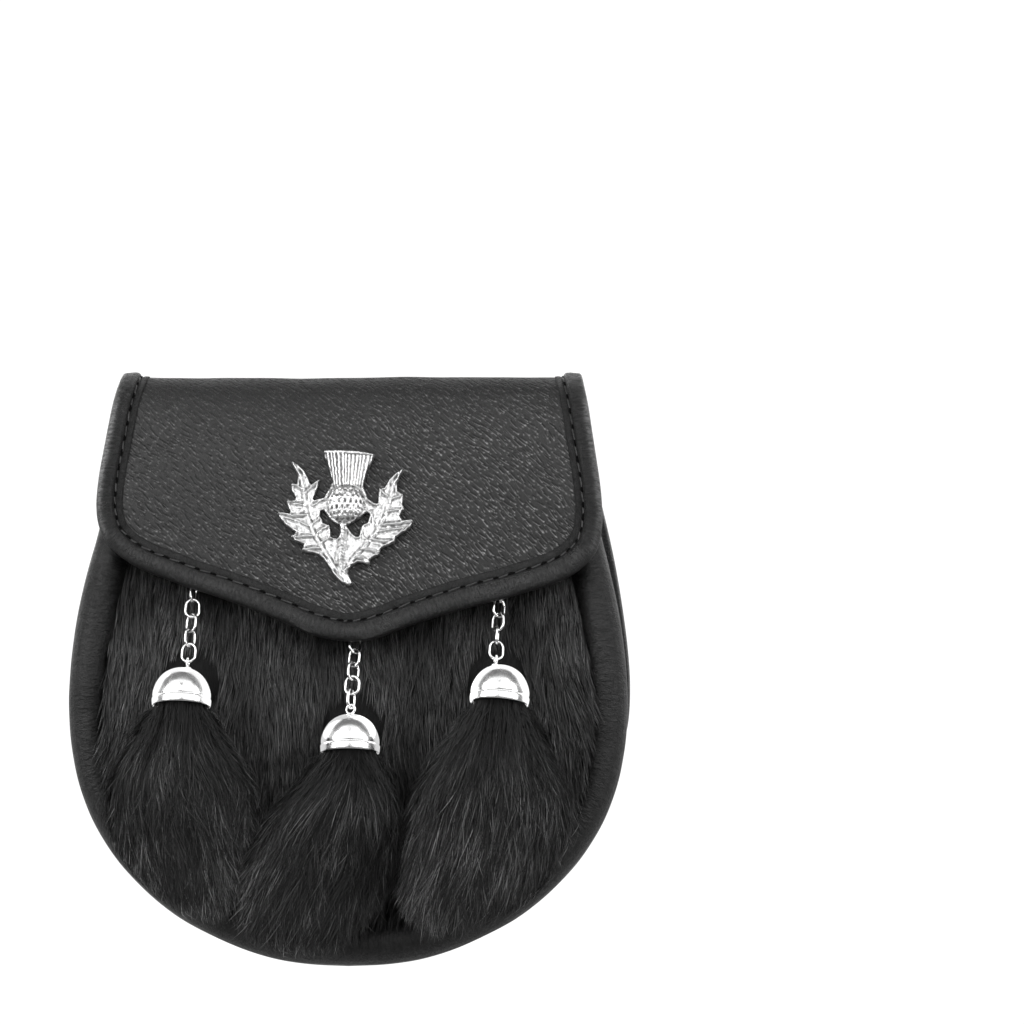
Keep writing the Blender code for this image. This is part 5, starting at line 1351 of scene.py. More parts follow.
BADGE_OUTLINE = [px(*p) for p in [
    (280, 300), (300, 345), (340, 410), (345, 450), (340, 505), (285, 503), (292, 560), (330, 628), (325, 655),
    (248, 658), (250, 690), (285, 760), (275, 772), (168, 768), (185, 810), (250, 888), (335, 942), (330, 958),
    (292, 992), (330, 1025), (412, 1058), (408, 1080), (390, 1128), (470, 1132), (545, 1150), (600, 1195),
    (650, 1262), (690, 1330), (740, 1385), (800, 1428), (850, 1432), (868, 1410), (845, 1370), (822, 1320),
    (826, 1285), (855, 1248), (900, 1222), (950, 1222), (1010, 1248), (1020, 1230), (1012, 1196), (1050, 1172),
    (1102, 1150), (1112, 1095), (1160, 1072), (1240, 1040), (1248, 990), (1300, 955), (1370, 912), (1410, 850),
    (1390, 832), (1300, 832), (1282, 800), (1290, 770), (1330, 742), (1302, 690), (1315, 610), (1300, 595),
    (1258, 572), (1254, 500), (1275, 440), (1312, 384), (1300, 370), (1242, 402), (1180, 462), (1138, 540),
    (1088, 545), (1082, 610), (1078, 682), (1050, 680), (985, 632), (975, 600), (950, 540), (948, 505), (968, 440),
    (1000, 350), (1038, 262), (1045, 245), (1000, 232), (900, 216), (780, 208), (640, 205), (585, 208), (575, 222),
    (600, 300), (640, 400), (664, 492), (640, 545), (605, 600), (590, 630), (540, 640), (505, 655), (492, 640),
    (525, 560), (548, 458), (520, 480), (472, 512), (462, 500), (440, 450), (410, 390), (345, 325), (300, 300),
]]
HOLE_LEFT = [px(*p) for p in [(562, 752), (592, 748), (610, 775), (650, 830), (700, 868), (732, 880), (738, 930),
                              (735, 972), (715, 1004), (690, 1004), (660, 990), (655, 930), (645, 882), (600, 868),
                              (582, 860), (578, 832), (556, 800)]]
HOLE_RIGHT = [px(*p) for p in [(975, 765), (1000, 772), (1006, 800), (990, 860), (940, 882), (925, 930), (912, 985),
                               (890, 988), (850, 960), (812, 905), (806, 880), (850, 862), (920, 815)]]
# veins: main rib first, then the side veins, each as points with a width (mm)
VEINS = [
    ([px(*p) for p in [(300, 320), (370, 430), (405, 560), (430, 760), (500, 950), (600, 1110), (690, 1260), (800, 1400)]], 0.62, 0.9),
    ([px(*p) for p in [(1296, 388), (1215, 520), (1190, 650), (1150, 800), (1060, 960), (960, 1080), (860, 1190), (790, 1300)]], 0.62, 0.9),
    ([px(*p) for p in [(768, 870), (770, 980), (760, 1080), (740, 1180), (760, 1290), (835, 1410)]], 1.0, 1.1),
    ([px(*p) for p in [(400, 560), (350, 530), (292, 512)]], 0.4, 0.7),
    ([px(*p) for p in [(405, 590), (470, 540), (535, 478)]], 0.4, 0.7),
    ([px(*p) for p in [(418, 700), (340, 690), (262, 668)]], 0.4, 0.7),
    ([px(*p) for p in [(440, 790), (300, 800), (180, 775)]], 0.5, 0.9),
    ([px(*p) for p in [(480, 905), (360, 850), (200, 800)]], 0.35, 0.6),
    ([px(*p) for p in [(520, 980), (420, 985), (305, 990)]], 0.45, 0.8),
    ([px(*p) for p in [(585, 1090), (500, 1090), (400, 1110)]], 0.45, 0.8),
    ([px(*p) for p in [(470, 880), (520, 850), (560, 820)]], 0.35, 0.6),
    ([px(*p) for p in [(520, 975), (575, 920), (640, 890)]], 0.4, 0.7),
    ([px(*p) for p in [(560, 1050), (640, 1000), (700, 1005)]], 0.35, 0.6),
    ([px(*p) for p in [(1192, 640), (1140, 600), (1092, 552)]], 0.4, 0.7),
    ([px(*p) for p in [(1188, 650), (1250, 630), (1308, 606)]], 0.4, 0.7),
    ([px(*p) for p in [(1165, 760), (1250, 745), (1325, 742)]], 0.4, 0.7),
    ([px(*p) for p in [(1110, 880), (1240, 870), (1400, 845)]], 0.5, 0.9),
    ([px(*p) for p in [(1070, 945), (1220, 920), (1360, 905)]], 0.35, 0.6),
    ([px(*p) for p in [(1020, 1010), (1130, 1030), (1240, 1030)]], 0.45, 0.8),
    ([px(*p) for p in [(940, 1100), (1020, 1110), (1100, 1130)]], 0.45, 0.8),
    ([px(*p) for p in [(880, 1170), (950, 1180), (1012, 1225)]], 0.4, 0.7),
    ([px(*p) for p in [(1080, 920), (1040, 850), (1020, 760)]], 0.35, 0.6),
    ([px(*p) for p in [(1000, 1030), (950, 990), (930, 930)]], 0.35, 0.6),
    ([px(*p) for p in [(1060, 700), (1030, 690), (985, 660)]], 0.35, 0.7),
    ([px(*p) for p in [(500, 700), (540, 670), (590, 650)]], 0.35, 0.7),
]
BULB = (0.6, 5.4, 7.1, 6.9)   # middle x, z and half sizes


def segment_distance(p, a, b):
    ab = b - a
    t = np.clip(((p - a) @ ab) / max(ab @ ab, 1e-12), 0, 1)
    return np.linalg.norm(p - (a + t[:, None] * ab), axis=1)


def polyline_distance(p, line, closed=False):
    pts = np.asarray(line, float)
    if closed:
        pts = np.concatenate([pts, pts[:1]])
    best = np.full(len(p), 1e9)
    for a, b in zip(pts[:-1], pts[1:]):
        best = np.minimum(best, segment_distance(p, a, b))
    return best


def inside(p, line):
    pts = np.asarray(line, float)
    out = np.zeros(len(p), bool)
    a = pts
    b = np.roll(pts, -1, 0)
    for (ax, ay), (bx, by) in zip(a, b):
        cond = ((ay > p[:, 1]) != (by > p[:, 1]))
        with np.errstate(divide="ignore", invalid="ignore"):
            xx = (bx - ax) * (p[:, 1] - ay) / (by - ay) + ax
        out ^= cond & (p[:, 0] < xx)
    return out


def badge_height(p):
    """Relief height and colour brightness of the cast thistle at points (x, z) in mm; the brightness is partly patina
    in the hollows and partly painted highlight and shade.
    """
    x, z = p[:, 0], p[:, 1]
    edge = np.minimum(polyline_distance(p, BADGE_OUTLINE, True),
                      np.minimum(polyline_distance(p, HOLE_LEFT, True), polyline_distance(p, HOLE_RIGHT, True)))
    rough = ripple(211, 2.0, x, z, waves=18)
    fine = ripple(212, 1.0, x, z, waves=18)
    # leaves: a blade with a raised rim, a hollow line inside it, ribs with a hollow at each side, and streaks
    rim = np.exp(-((edge - 0.36 - 0.06 * rough) / 0.34) ** 2)
    trough = np.exp(-((edge - 1.08 - 0.14 * rough) / 0.27) ** 2) * (0.65 + 0.35 * np.clip(fine, -1, 1))
    rib = np.zeros(len(p))
    groove = np.zeros(len(p))
    near = np.full(len(p), 1e9)
    for line, width, tall in VEINS:
        dist = polyline_distance(p, line)
        rib = np.maximum(rib, tall * np.exp(-(dist / (width * 0.72)) ** 2))
        groove = np.maximum(groove, tall * np.exp(-((dist - width * 1.40 - 0.07 * rough) / 0.30) ** 2))
        near = np.minimum(near, dist)
    streak = 0.5 + 0.5 * np.sin(2 * math.pi * near / 0.92 + 1.5 * rough)
    leaf = (1.25 + 0.50 * rim + 0.70 * rib - 0.26 * groove - 0.20 * trough + 0.15 * streak + 0.10 * rough + 0.05 * fine)
    # the stem's rings and rough bark
    stem = np.exp(-((x - 0.02 - 0.03 * z) / 1.15) ** 2) * smooth((-z - 0.6) / 1.0) * smooth((z + 17.0) / 3.0)
    ring = 0.5 + 0.5 * np.sin(z * 5.6 + 0.9 * np.sin(x * 2.2) + 0.6 * rough)
    leaf = leaf + stem * (0.75 + 0.26 * ring)
    # the tuft: a fan of uneven flutes that meet above the bulb, with a thin lip along its top
    pole = (0.7, -18.5)
    ang = np.degrees(np.arctan2(x - pole[0], z - pole[1])) + 0.16 * rough
    turns = ang / 1.78 + 0.12 * np.sin(ang * 0.9) + 0.1
    flute = 0.5 + 0.5 * np.cos(2 * math.pi * turns)
    which = np.round(turns)
    own = 0.5 + 0.5 * np.sin(which * 12.9898 + 3.1)
    fan = smooth((z - 10.2) / 1.2) * smooth((6.8 + 0.27 * (z - 10.0) - np.abs(x - 1.2)) / 0.5)
    cap = smooth((z - 21.3 + 0.045 * x) / 0.45) * fan
    tuft = 1.5 + 0.55 * (z - 10.0) / 12.0 + (0.55 + 0.4 * own) * flute ** 0.7 * (1 - cap) + 0.5 * (1 - (ang / 14.0) ** 2)
    tuft = tuft + cap * (0.9 + 0.1 * fine)
    # the bulb: a dome with rows of small pits between raised scales
    bx, bz, rx, rz = BULB
    rr = ((x - bx) / rx) ** 2 + ((z - bz) / rz) ** 2
    dome = 4.9 * np.sqrt(np.clip(1 - rr, 0, 1))
    lat = np.arcsin(np.clip((z - bz) / rz, -1, 1))
    lon = np.arcsin(np.clip((x - bx) / (rx * np.maximum(np.cos(lat), 0.2)), -1, 1))
    row = lat / math.radians(17.5) + 0.06 * rough
    shift = 0.5 * (np.round(row) % 2)
    col = lon * np.maximum(np.cos(lat), 0.25) / math.radians(15.5) + shift + 0.05 * fine
    du, dv = col - np.round(col), row - np.round(row)
    pit = np.exp(-((du / 0.27) ** 2 + ((dv + 0.1) / 0.25) ** 2)) * (0.75 + 0.25 * np.sin(np.round(col) * 7.1 + np.round(row) * 3.3))
    scale = 0.5 + 0.5 * np.cos(2 * math.pi * du) * np.cos(2 * math.pi * dv)
    on_bulb = smooth((1.02 - rr) / 0.10)
    near_top = smooth((z - 9.6) / 1.6) * smooth((7.6 - np.abs(x - 0.8)) / 0.8)
    rings = np.exp(-(((np.hypot(du, dv) - 0.30) / 0.10) ** 2)) * smooth((1.5 - z) / 2.0)
    dome = dome + (0.26 * (1 - scale) - 0.50 * pit - 0.22 * rings) * on_bulb * (1 - near_top) + 0.12 * rough + 0.06 * fine
    base = np.where(fan > 0, lerp(leaf, tuft, fan), leaf)
    height = np.maximum(base, dome * on_bulb)
    # colour: rims, ribs and raised parts lighter, grooves, troughs and pits darker, partly patina and partly painted
    # highlight and shade; the tuft is painted lighter towards its right and along its top lip, and the bulb darker
    # towards its rim
    shade_leaf = (0.76 + 0.25 * rim + 0.24 * rib - 0.46 * groove - 0.32 * trough + 0.26 * (streak - 0.5) + 0.13 * rough
                  + 0.10 * fine)
    shade_leaf = lerp(shade_leaf, 0.25 + 0.65 * ring + 0.15 * rough, np.clip(stem, 0, 1) * 0.75)
    shade_tuft = (0.22 + (0.52 + 0.40 * own) * flute ** 0.9) * (0.80 + 0.25 * smooth((x + 4.0) / 5.0)) + 0.10 * fine
    shade_tuft = lerp(shade_tuft, 0.85, cap)
    shade_bulb = 0.84 - 0.85 * pit - 0.5 * rings - 0.22 * scale * (rr > 0.55) - 0.25 * smooth((rr - 0.72) / 0.3) \
        + 0.14 * rough + 0.14 * fine
    shade = lerp(shade_leaf, shade_tuft, fan)
    on_dome = dome * on_bulb > base
    shade = np.where(on_dome, lerp(shade_bulb, 0.62 + 0.35 * rough + 0.2 * fine, near_top), shade)
    fall = np.minimum(1.0, edge / 0.5)
    height = height * np.sqrt(np.clip(1 - (1 - fall) ** 2, 0.0, 1.0)) ** 0.8
    height = np.maximum(height, 0.45 * np.minimum(1, edge / 0.05) + 0.35)
    return height, np.clip(shade, 0, 1)


BADGE_STRETCH = (1.015, 1.058)     # the flap leans back, so the badge is longer than it looks from the front
BADGE_MOVE = (0.9, -1.35)


def make_badge():
    pitch = 0.255
    loops = []
    for line in (BADGE_OUTLINE, HOLE_LEFT, HOLE_RIGHT):
        closed = np.array(list(line) + [line[0]])
        length = np.linalg.norm(np.diff(closed, axis=0), axis=1).sum()
        # rounded a little between the drawn corners
        pts = resample(closed, int(length / pitch) + 1)[:-1]
        for _ in range(1):
            pts = 0.25 * np.roll(pts, 1, 0) + 0.5 * pts + 0.25 * np.roll(pts, -1, 0)
        loops.append(pts)
    xs = np.arange(-23.5, 25.0, pitch)
    zs = np.arange(-23.5, 24.5, pitch * 0.87)
    gx, gz = np.meshgrid(xs, zs)
    gx = gx + (np.arange(len(zs)) % 2)[:, None] * pitch / 2
    p = np.stack([gx.ravel(), gz.ravel()], 1)
    keep = inside(p, loops[0]) & ~inside(p, loops[1]) & ~inside(p, loops[2])
    p = p[keep]
    edge = np.minimum(polyline_distance(p, loops[0], True),
                      np.minimum(polyline_distance(p, loops[1], True), polyline_distance(p, loops[2], True)))
    p = p[edge > pitch * 0.55]
    verts = [Vector(v) for v in np.concatenate(loops + [p])]
    edges, start = [], 0
    for loop in loops:
        m = len(loop)
        edges += [(start + i, start + (i + 1) % m) for i in range(m)]
        start += m
    out_v, _, out_f, _, _, _ = delaunay_2d_cdt(verts, edges, [], 1, 1e-6)
    v = np.array([(q.x, q.y) for q in out_v])
    faces = np.array([f for f in out_f if len(f) == 3])
    mid = v[faces].mean(1)
    ok = inside(mid, loops[0]) & ~inside(mid, loops[1]) & ~inside(mid, loops[2])
    faces = faces[ok]
    h, shade = badge_height(v)
    n = len(v)
    count = {}
    for f in faces:
        for a, b in ((f[0], f[1]), (f[1], f[2]), (f[2], f[0])):
            key = (min(a, b), max(a, b))
            count.setdefault(key, []).append((a, b))
    rim = [pairs[0] for pairs in count.values() if len(pairs) == 1]
    walls = np.array([(b, a, a + n, b + n) for a, b in rim])
    plane = badge_origin + np.array([1.0, 0, 0]) * (BADGE_X + BADGE_MOVE[0] + v[:, :1] * BADGE_STRETCH[0]) \
        + badge_up * (v[:, 1:2] * BADGE_STRETCH[1] + BADGE_MOVE[1])
    front = plane + badge_normal * h[:, None]
    back = plane
    tris = np.concatenate([faces, faces[:, ::-1] + n])
    obj = make_mesh("thistle_badge_relief", np.concatenate([front, back]), walls, tris,
                    attrs={"relief": np.concatenate([shade, np.full(n, 0.3)])})
    bm = bmesh.new()
    bm.from_mesh(obj.data)
    bmesh.ops.recalc_face_normals(bm, faces=bm.faces)
    bm.to_mesh(obj.data)
    bm.free()
    return ride(obj, M_SILVER, "thistle_badge", slot="cast_silver")


make_badge()


# ----------------------------------------------------- chains, bells, tassels
BELL_CURVE = [
    (0.0, 13.4), (1.8, 13.26), (3.6, 12.76), (5.3, 11.92), (6.9, 10.66), (8.1, 9.15), (9.0, 7.5), (9.6, 5.8),
    (9.86, 4.4), (9.88, 3.6),
]
BELL_SKIRT = [
    (9.80, 3.22), (9.62, 3.02), (9.72, 2.84), (9.98, 2.66), (10.06, 2.30), (10.02, 1.5), (9.94, 0.7), (9.82, 0.16),
    (9.56, 0.0), (9.28, 0.10), (9.18, 0.6), (9.18, 2.4), (9.14, 4.6), (8.4, 7.0), (7.2, 9.0), (5.5, 10.8),
    (3.0, 12.0), (0.0, 12.5),
]


def turn_matrix(tilt, roll):
    return np.array(Matrix.Rotation(math.radians(roll), 3, "Y") @ Matrix.Rotation(-math.radians(tilt), 3, "X"))


def make_bell(side, rim, turn, eye, last_yaw):
    dome = spline(BELL_CURVE, 44)
    skirt = spline(BELL_SKIRT, 60)
    prof = np.concatenate([dome, skirt])
    steps = 64
    a = 2 * math.pi * np.arange(steps) / steps
    pr, pz = prof[1:-1, 0], prof[1:-1, 1]
    ring = np.stack([pr[:, None] * np.cos(a), pr[:, None] * np.sin(a), np.repeat(pz[:, None], steps, 1)], -1)
    dent = 0.045 * ripple(hash_side(side), 9.0, ring[..., 0], ring[..., 1], ring[..., 2])
    ring[..., :2] *= (1 + dent / 10.0)[..., None]
    m = len(pr)
    verts = np.concatenate([ring.reshape(-1, 3), [[0, 0, prof[0, 1]], [0, 0, prof[-1, 1]]]])
    quads = grid_faces(m, steps, wrap_cols=True)
    tris = []
    for j in range(steps):
        k = (j + 1) % steps
        tris.append((m * steps, j, k))
        tris.append((m * steps + 1, (m - 1) * steps + k, (m - 1) * steps + j))
    parts = Parts()
    parts.add(verts @ turn.T + rim, quads, np.array(tris))
    basis = turn @ np.array(Matrix.Rotation(last_yaw, 3, "Z"))
    parts.add(*ring_tube(eye, BELL_EYE, 0.8, basis, 40, 10))
    # a low seat under the eye
    seat = []
    for r, z in ((1.35, 13.1), (1.2, 13.55), (0.85, 13.8), (0.4, 13.88)):
        seat.append(np.stack([r * np.cos(a[::4]), r * np.sin(a[::4]), np.full(len(a[::4]), z)], -1))
    seat = np.array(seat)
    sv = seat.reshape(-1, 3)
    sv = np.concatenate([sv, [[0, 0, 13.89], [0, 0, 13.0]]]) - [BELL_OFFSET[side], 0, 0.06 * abs(BELL_OFFSET[side])]
    sn = seat.shape[1]
    st = []
    for j in range(sn):
        k = (j + 1) % sn
        st.append((4 * sn, 3 * sn + k, 3 * sn + j))
        st.append((4 * sn + 1, j, k))
    parts.add(sv @ turn.T + rim, grid_faces(4, sn, wrap_cols=True), np.array(st))
    obj = parts.make("bell_%s_cap" % side)
    bm = bmesh.new()
    bm.from_mesh(obj.data)
    bmesh.ops.recalc_face_normals(bm, faces=bm.faces)
    bm.to_mesh(obj.data)
    bm.free()
    return ride(obj, M_CHROME, "bell_" + side, slot="polished_metal")


def hash_side(side):
    return {"left": 81, "centre": 82, "right": 83}[side]


LIMIT_ANGLE = np.arctan2(FRONT_HALF[:, 1] - 105.0, FRONT_HALF[:, 0])
LIMIT_REACH = np.hypot(FRONT_HALF[:, 1] - 105.0, FRONT_HALF[:, 0])


def make_tassel(side, rim, turn):
    rows = TASSEL_ROWS[side]
    falls = np.array([r[0] for r in rows])

    def section(fall):
        """Centre x, y and half sizes of the tassel's outer form at falls below the rim."""
        fall = np.asarray(fall, float)
        f = np.clip(fall, falls[0], falls[-1])
        shift = table_value(rows, f, 1)
        half = table_value(rows, f, 2)
        lift = table_value(rows, f, 3)
        depth = table_value(rows, f, 4)
        drop = TOP - rim[2] + f
        x0 = rim[0] + shift
        back = np.full(f.shape, 1e9)
        for g in (-0.9, -0.45, 0.0, 0.45, 0.9):
            back = np.minimum(back, rest_y(x0 + half * g, drop))
        back = back - lift
        cy = back - depth / 2
        t = np.clip(fall / 7.0, 0.0, 1.0)
        t = t * (1.6 - 0.6 * t)
        return (lerp(rim[0], x0, t), lerp(rim[1], cy, t), lerp(8.3, half, t), lerp(8.3, depth / 2, t))

    # closed under-layer, a little inside the outer form
    end = falls[-1]
    fl = np.linspace(-6.0, end - 9.0, 46)
    cx, cy, hw, hd = section(fl)
    shrink = 0.80 * np.sqrt(np.clip(1 - (np.maximum(fl - 16, 0) / (end - 22)) ** 3, 0.02, 1))
    shrink = np.where(fl < 8, 0.86, shrink)
    sides = 40
    a = 2 * math.pi * np.arange(sides) / sides
    ring = np.stack([cx[:, None] + (hw * shrink)[:, None] * np.cos(a), cy[:, None] + (hd * shrink)[:, None] * np.sin(a),
                     rim[2] - np.repeat(fl[:, None], sides, 1)], -1)
    m = len(fl)
    verts = np.concatenate([ring.reshape(-1, 3), [ring[0].mean(0)], [ring[-1].mean(0)]])
    tris = []
    for j in range(sides):
        k = (j + 1) % sides
        tris.append((m * sides, k, j))
        tris.append((m * sides + 1, (m - 1) * sides + j, (m - 1) * sides + k))
    base = make_mesh("tassel_base_" + side, verts, grid_faces(m, sides, wrap_cols=True, flip=True), np.array(tris),
                     attrs={"tone": np.zeros(len(verts))})
    base.data.materials.append(M_SKIN)

    rng = np.random.default_rng(100 + hash_side(side))
    want, tufts = 16500, 270
    k = 5
    u = np.linspace(0, 1, k)
    hold = falls[int(np.argmax([r[2] for r in rows]))]

    def held(fall):
        """Middle and half width of the form, kept at its widest below that point."""
        return section(fall)[0], section(np.minimum(fall, hold))[2]

    # tufts of fur: where each starts, which way it leans, how far it stands off, how light it is
    t_fall = -3.0 + (end - 15.0) * rng.beta(1.05, 0.95, tufts)
    _, t_held = held(t_fall)
    room = section(t_fall)[2] / t_held
    t_rel = rng.uniform(-0.99, 0.99, tufts) * room
    t_lean = 0.13 * rng.normal(size=tufts)
    t_curl = 0.08 * rng.normal(size=tufts)
    t_off = rng.uniform(-0.05, 0.09, tufts)
    t_len = rng.uniform(0.75, 1.25, tufts)
    t_tone = rng.uniform(0.10, 1.0, tufts) ** 1.5
    t_deep = np.where(rng.uniform(0, 1, tufts) < 0.78, rng.uniform(0.9, 1.0, tufts), rng.uniform(-0.95, 0.7, tufts))
    pick = rng.integers(0, tufts, want)
    loose = rng.uniform(0, 1, want) < 0.14
    own_fall = -3.0 + (end - 14.0) * rng.beta(1.05, 0.95, want)
    start = np.where(loose, own_fall, np.clip(t_fall[pick] + rng.normal(0, 2.4, want), -3.0, end - 9.0))
    own_room = section(start)[2] / held(start)[1]
    rel = np.where(loose, rng.uniform(-1.0, 1.0, want) * own_room, t_rel[pick])
    off = np.where(loose, 0.0, rng.normal(0, 2.1, want))
    lean = np.where(loose, 0.24 * rng.normal(size=want), t_lean[pick] + 0.05 * rng.normal(size=want))
    curl = t_curl[pick] + 0.05 * rng.normal(size=want) * (1 + loose)
    gather = rng.uniform(0.25, 0.95, want) * (~loose)
    length = rng.uniform(15.0, 25.0, want) * np.where(loose, rng.uniform(0.8, 1.3, want), t_len[pick])
    length = length * (1.0 - 0.20 * smooth((start - 35) / 30.0))

    def path(length, steps):
        """Across and fall along each strand: it follows the form while that widens, then hangs on."""
        fall = start[:, None] + length[:, None] * steps
        cx, wide = held(fall)
        out = rel[:, None] * wide + off[:, None] * (1.0 - gather[:, None] * steps ** 1.3)
        out = out + length[:, None] * (lean[:, None] * steps + curl[:, None] * steps * steps
                                       + 0.13 * rel[:, None] * steps)
        return cx + out, fall

    # each ends a little past the outer form
    dense = np.linspace(0, 1, 22)[None, :]
    px_, fall = path(length, dense)
    cx, _, hw, _ = section(fall)
    beyond = (np.abs(px_ - cx) > hw * 1.02 + 0.8) | (fall > end)
    beyond[:, :6] = False
    first_out = np.where(beyond.any(1), beyond.argmax(1), 21) / 21.0
    length = np.minimum(length, length * first_out + rng.uniform(0.2, 1.0, want) ** 2 * np.where(loose, 6.0, 3.6))
    px_, fall = path(length, u[None, :])
    cx, cy, _, hd = section(np.minimum(fall, end - 6.0))
    _, wide = held(fall)
    round_ = np.sqrt(np.clip(1.0 - ((px_ - cx) / wide) ** 2, 0.03, 1.0))
    deep0 = np.where(loose, np.where(rng.uniform(0, 1, want) < 0.8, 0.95, rng.uniform(-0.9, 0.7, want)), t_deep[pick])
    grow = rng.uniform(0.66, 0.90, want)[:, None]
    grow = grow + (rng.uniform(0.96, 1.05, want)[:, None] + t_off[pick][:, None] - grow) * (1 - (1 - u) ** 1.8)[None, :]
    py_ = cy - hd * round_ * deep0[:, None] * grow
    py_ = np.minimum(py_, rest_y(px_, np.clip(TOP - rim[2] + fall, 0.0, 200.0)) - 0.5 - 0.8 * u[None, :])
    pts = np.stack([px_, py_, rim[2] - fall], -1)
    # inside the bell they start within its mouth
    r_now = np.hypot(pts[..., 0] - rim[0], pts[..., 1] - rim[1])
    squeeze = np.where(fall < 1.0, np.minimum(1.0, 8.4 / np.maximum(r_now, 1e-6)), 1.0)
    pts[..., 0] = rim[0] + (pts[..., 0] - rim[0]) * squeeze
    pts[..., 1] = rim[1] + (pts[..., 1] - rim[1]) * squeeze
    # the fur stays within the bag's own outline
    across, down = pts[..., 0], TOP - pts[..., 2] - 105.0
    reach_now = np.hypot(across, down)
    limit = np.interp(np.arctan2(down, np.abs(across)), LIMIT_ANGLE, LIMIT_REACH)
    limit = limit - rng.uniform(2.4, 6.5, want)[:, None]
    pull_in = np.minimum(1.0, limit / np.maximum(reach_now, 1e-6))
    pts[..., 0] = across * pull_in
    pts[..., 2] = TOP - 105.0 - down * pull_in
    rel_now = np.clip(rel, -0.98, 0.98)
    out = np.stack([rel_now * 0.9, -np.sqrt(1 - rel_now ** 2) * np.sign(deep0 + 1e-6), np.zeros(want)], 1)
    facing = unit(out + rng.normal(0, 0.45, (want, 3)))
    # strand tone: painted shade near the bell's mouth, painted sheen along each strand (darkest at the root, lightest
    # three quarters along), random lighter tufts in patches, lighter further down, and the centre tassel darker overall
    top_dark = smooth((fall - 4.0) / 20.0)
    patch = 0.55 + 0.45 * ripple(93, 24.0, px_, fall * 0.6)
    shine = np.interp(u, [0.0, 0.35, 0.75, 1.0], [0.30, 0.65, 1.0, 0.85])[None, :]
    tone = (rng.beta(0.42, 2.6, want) * (0.15 + 1.25 * np.where(loose, 0.8, t_tone[pick])))[:, None] * shine
    tone = tone * (0.03 + 0.97 * top_dark) * (0.40 + 0.8 * np.clip(patch, 0, 1)) * (0.85 + 0.75 * smooth((fall - 26) / 30.0))
    tone = tone + 0.045 * smooth((fall - 26.0) / 30.0)
    tone = tone * {"left": 1.0, "centre": 0.82, "right": 0.96}[side]
    strands = ribbons("tassel_strands_" + side, pts, rng.uniform(0.14, 0.31, want), facing, tone, M_TASSEL, (), taper=0.35)
    strands.data.materials.append(M_TASSEL)
    obj = join_with(base, strands, "tassel_%s_fur" % side)
    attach(obj, "root")
    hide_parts("tassel_" + side)
    return obj


BELL_MIDDLE = {}
for side, x_eye, drop_eye, y_eye, x_top, drop_top, y_top in CHAINS:
    eye = np.array([x_eye, y_eye, TOP - drop_eye])
    top = np.array([x_top, y_top, TOP - drop_top])
    line = top - eye
    run = np.linalg.norm(line)
    direction = line / run
    zc = -direction
    xc = unit(np.array([1.0, 0, 0]) - zc * zc[0])
    yc = np.cross(zc, xc)
    base = np.stack([xc, yc, zc], 1)
    half_run = LINK_LENGTH / 2 - LINK_WIRE / 2
    r_end = LINK_WIDTH / 2 - LINK_WIRE / 2
    first = EYE_RADIUS + half_run - LINK_WIRE / 2 - EYE_WIRE / 2 - 0.22
    last = run - (half_run - LINK_WIRE / 2 - 0.4 - 0.22)
    yaws = LINK_YAW[side]
    pitch = (last - first) / (len(yaws) - 1)
    chain = Parts()
    for k, yaw in enumerate(yaws):
        centre = eye + direction * (first + pitch * k)
        basis = base @ np.array(Matrix.Rotation(math.radians(yaw), 3, "Z"))
        chain.add(*ring_tube(centre, r_end, LINK_WIRE, basis, 52, 12, stretch=half_run - r_end))
    ride(chain.make("chain_" + side), M_WIRE, *["link_%s_%d" % (side, k + 1) for k in range(len(yaws))],
         slot="polished_metal")
    tilt, roll = BELL_TILT[side]
    turn = turn_matrix(tilt, roll)
    up = turn @ np.array([0, 0, 1.0])
    eye_centre = top - up * BELL_EYE
    rim = eye_centre - up * (BELL_TOP + BELL_EYE - 0.65)
    rim[0] += BELL_OFFSET[side]
    BELL_MIDDLE[side] = rim + up * 5.0 + np.array([-2.0, 2.0, 5.5])
    make_bell(side, rim, turn, eye_centre, math.radians(yaws[-1] + 90))
    make_tassel(side, rim, turn)


# --------------------------------------------- hidden CAD pieces that stay as they are
def finish_node(name, material):
    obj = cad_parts[name]
    if hasattr(obj, "material_slots"):
        objs = [obj]
    else:
        objs = list(obj)
    for o in objs:
        for s in o.material_slots:
            s.material = material


for side in ("left", "centre", "right"):
    finish_node("chain_anchor_" + side, M_STEEL)
finish_node("flap_stud", M_STEEL)
finish_node("ring_tab", M_LINING)


# ------------------------------------------------------------ stage and lights
scene = bpy.context.scene
lo, hi = CAD_BOX
FLOOR_Z = lo[2] - 0.45

floor = make_mesh("floor", np.array([(-2600, -2600, 0), (2600, -2600, 0), (2600, 2600, 0), (-2600, 2600, 0)], float),
                  np.array([[0, 1, 2, 3]]), smooth_faces=False)
floor.location.z = FLOOR_Z
ft = Tree("floor_white")
fn = ft.noise(ft.object_coords(), 3.0, 1.0)
floor.data.materials.append(ft.set(Base_Color=ft.mix(fn, grey(0.86), grey(0.90)), Roughness=0.9,
                                   Emission_Color=(1, 1, 1, 1), Emission_Strength=1.15))
# the floor is there to be seen; it doesn't light the black leather from below
floor.visible_diffuse = False
floor.visible_glossy = False
floor.visible_shadow = False

world = bpy.data.worlds.new("studio")
scene.world = world
world.use_nodes = True
nt = world.node_tree
for n in list(nt.nodes):
    nt.nodes.remove(n)
w_out = nt.nodes.new("ShaderNodeOutputWorld")
dim = nt.nodes.new("ShaderNodeBackground")
dim.inputs["Color"].default_value = (1, 1, 1, 1)
white = nt.nodes.new("ShaderNodeBackground")
white.inputs["Color"].default_value = (1, 1, 1, 1)
white.inputs["Strength"].default_value = 1.1
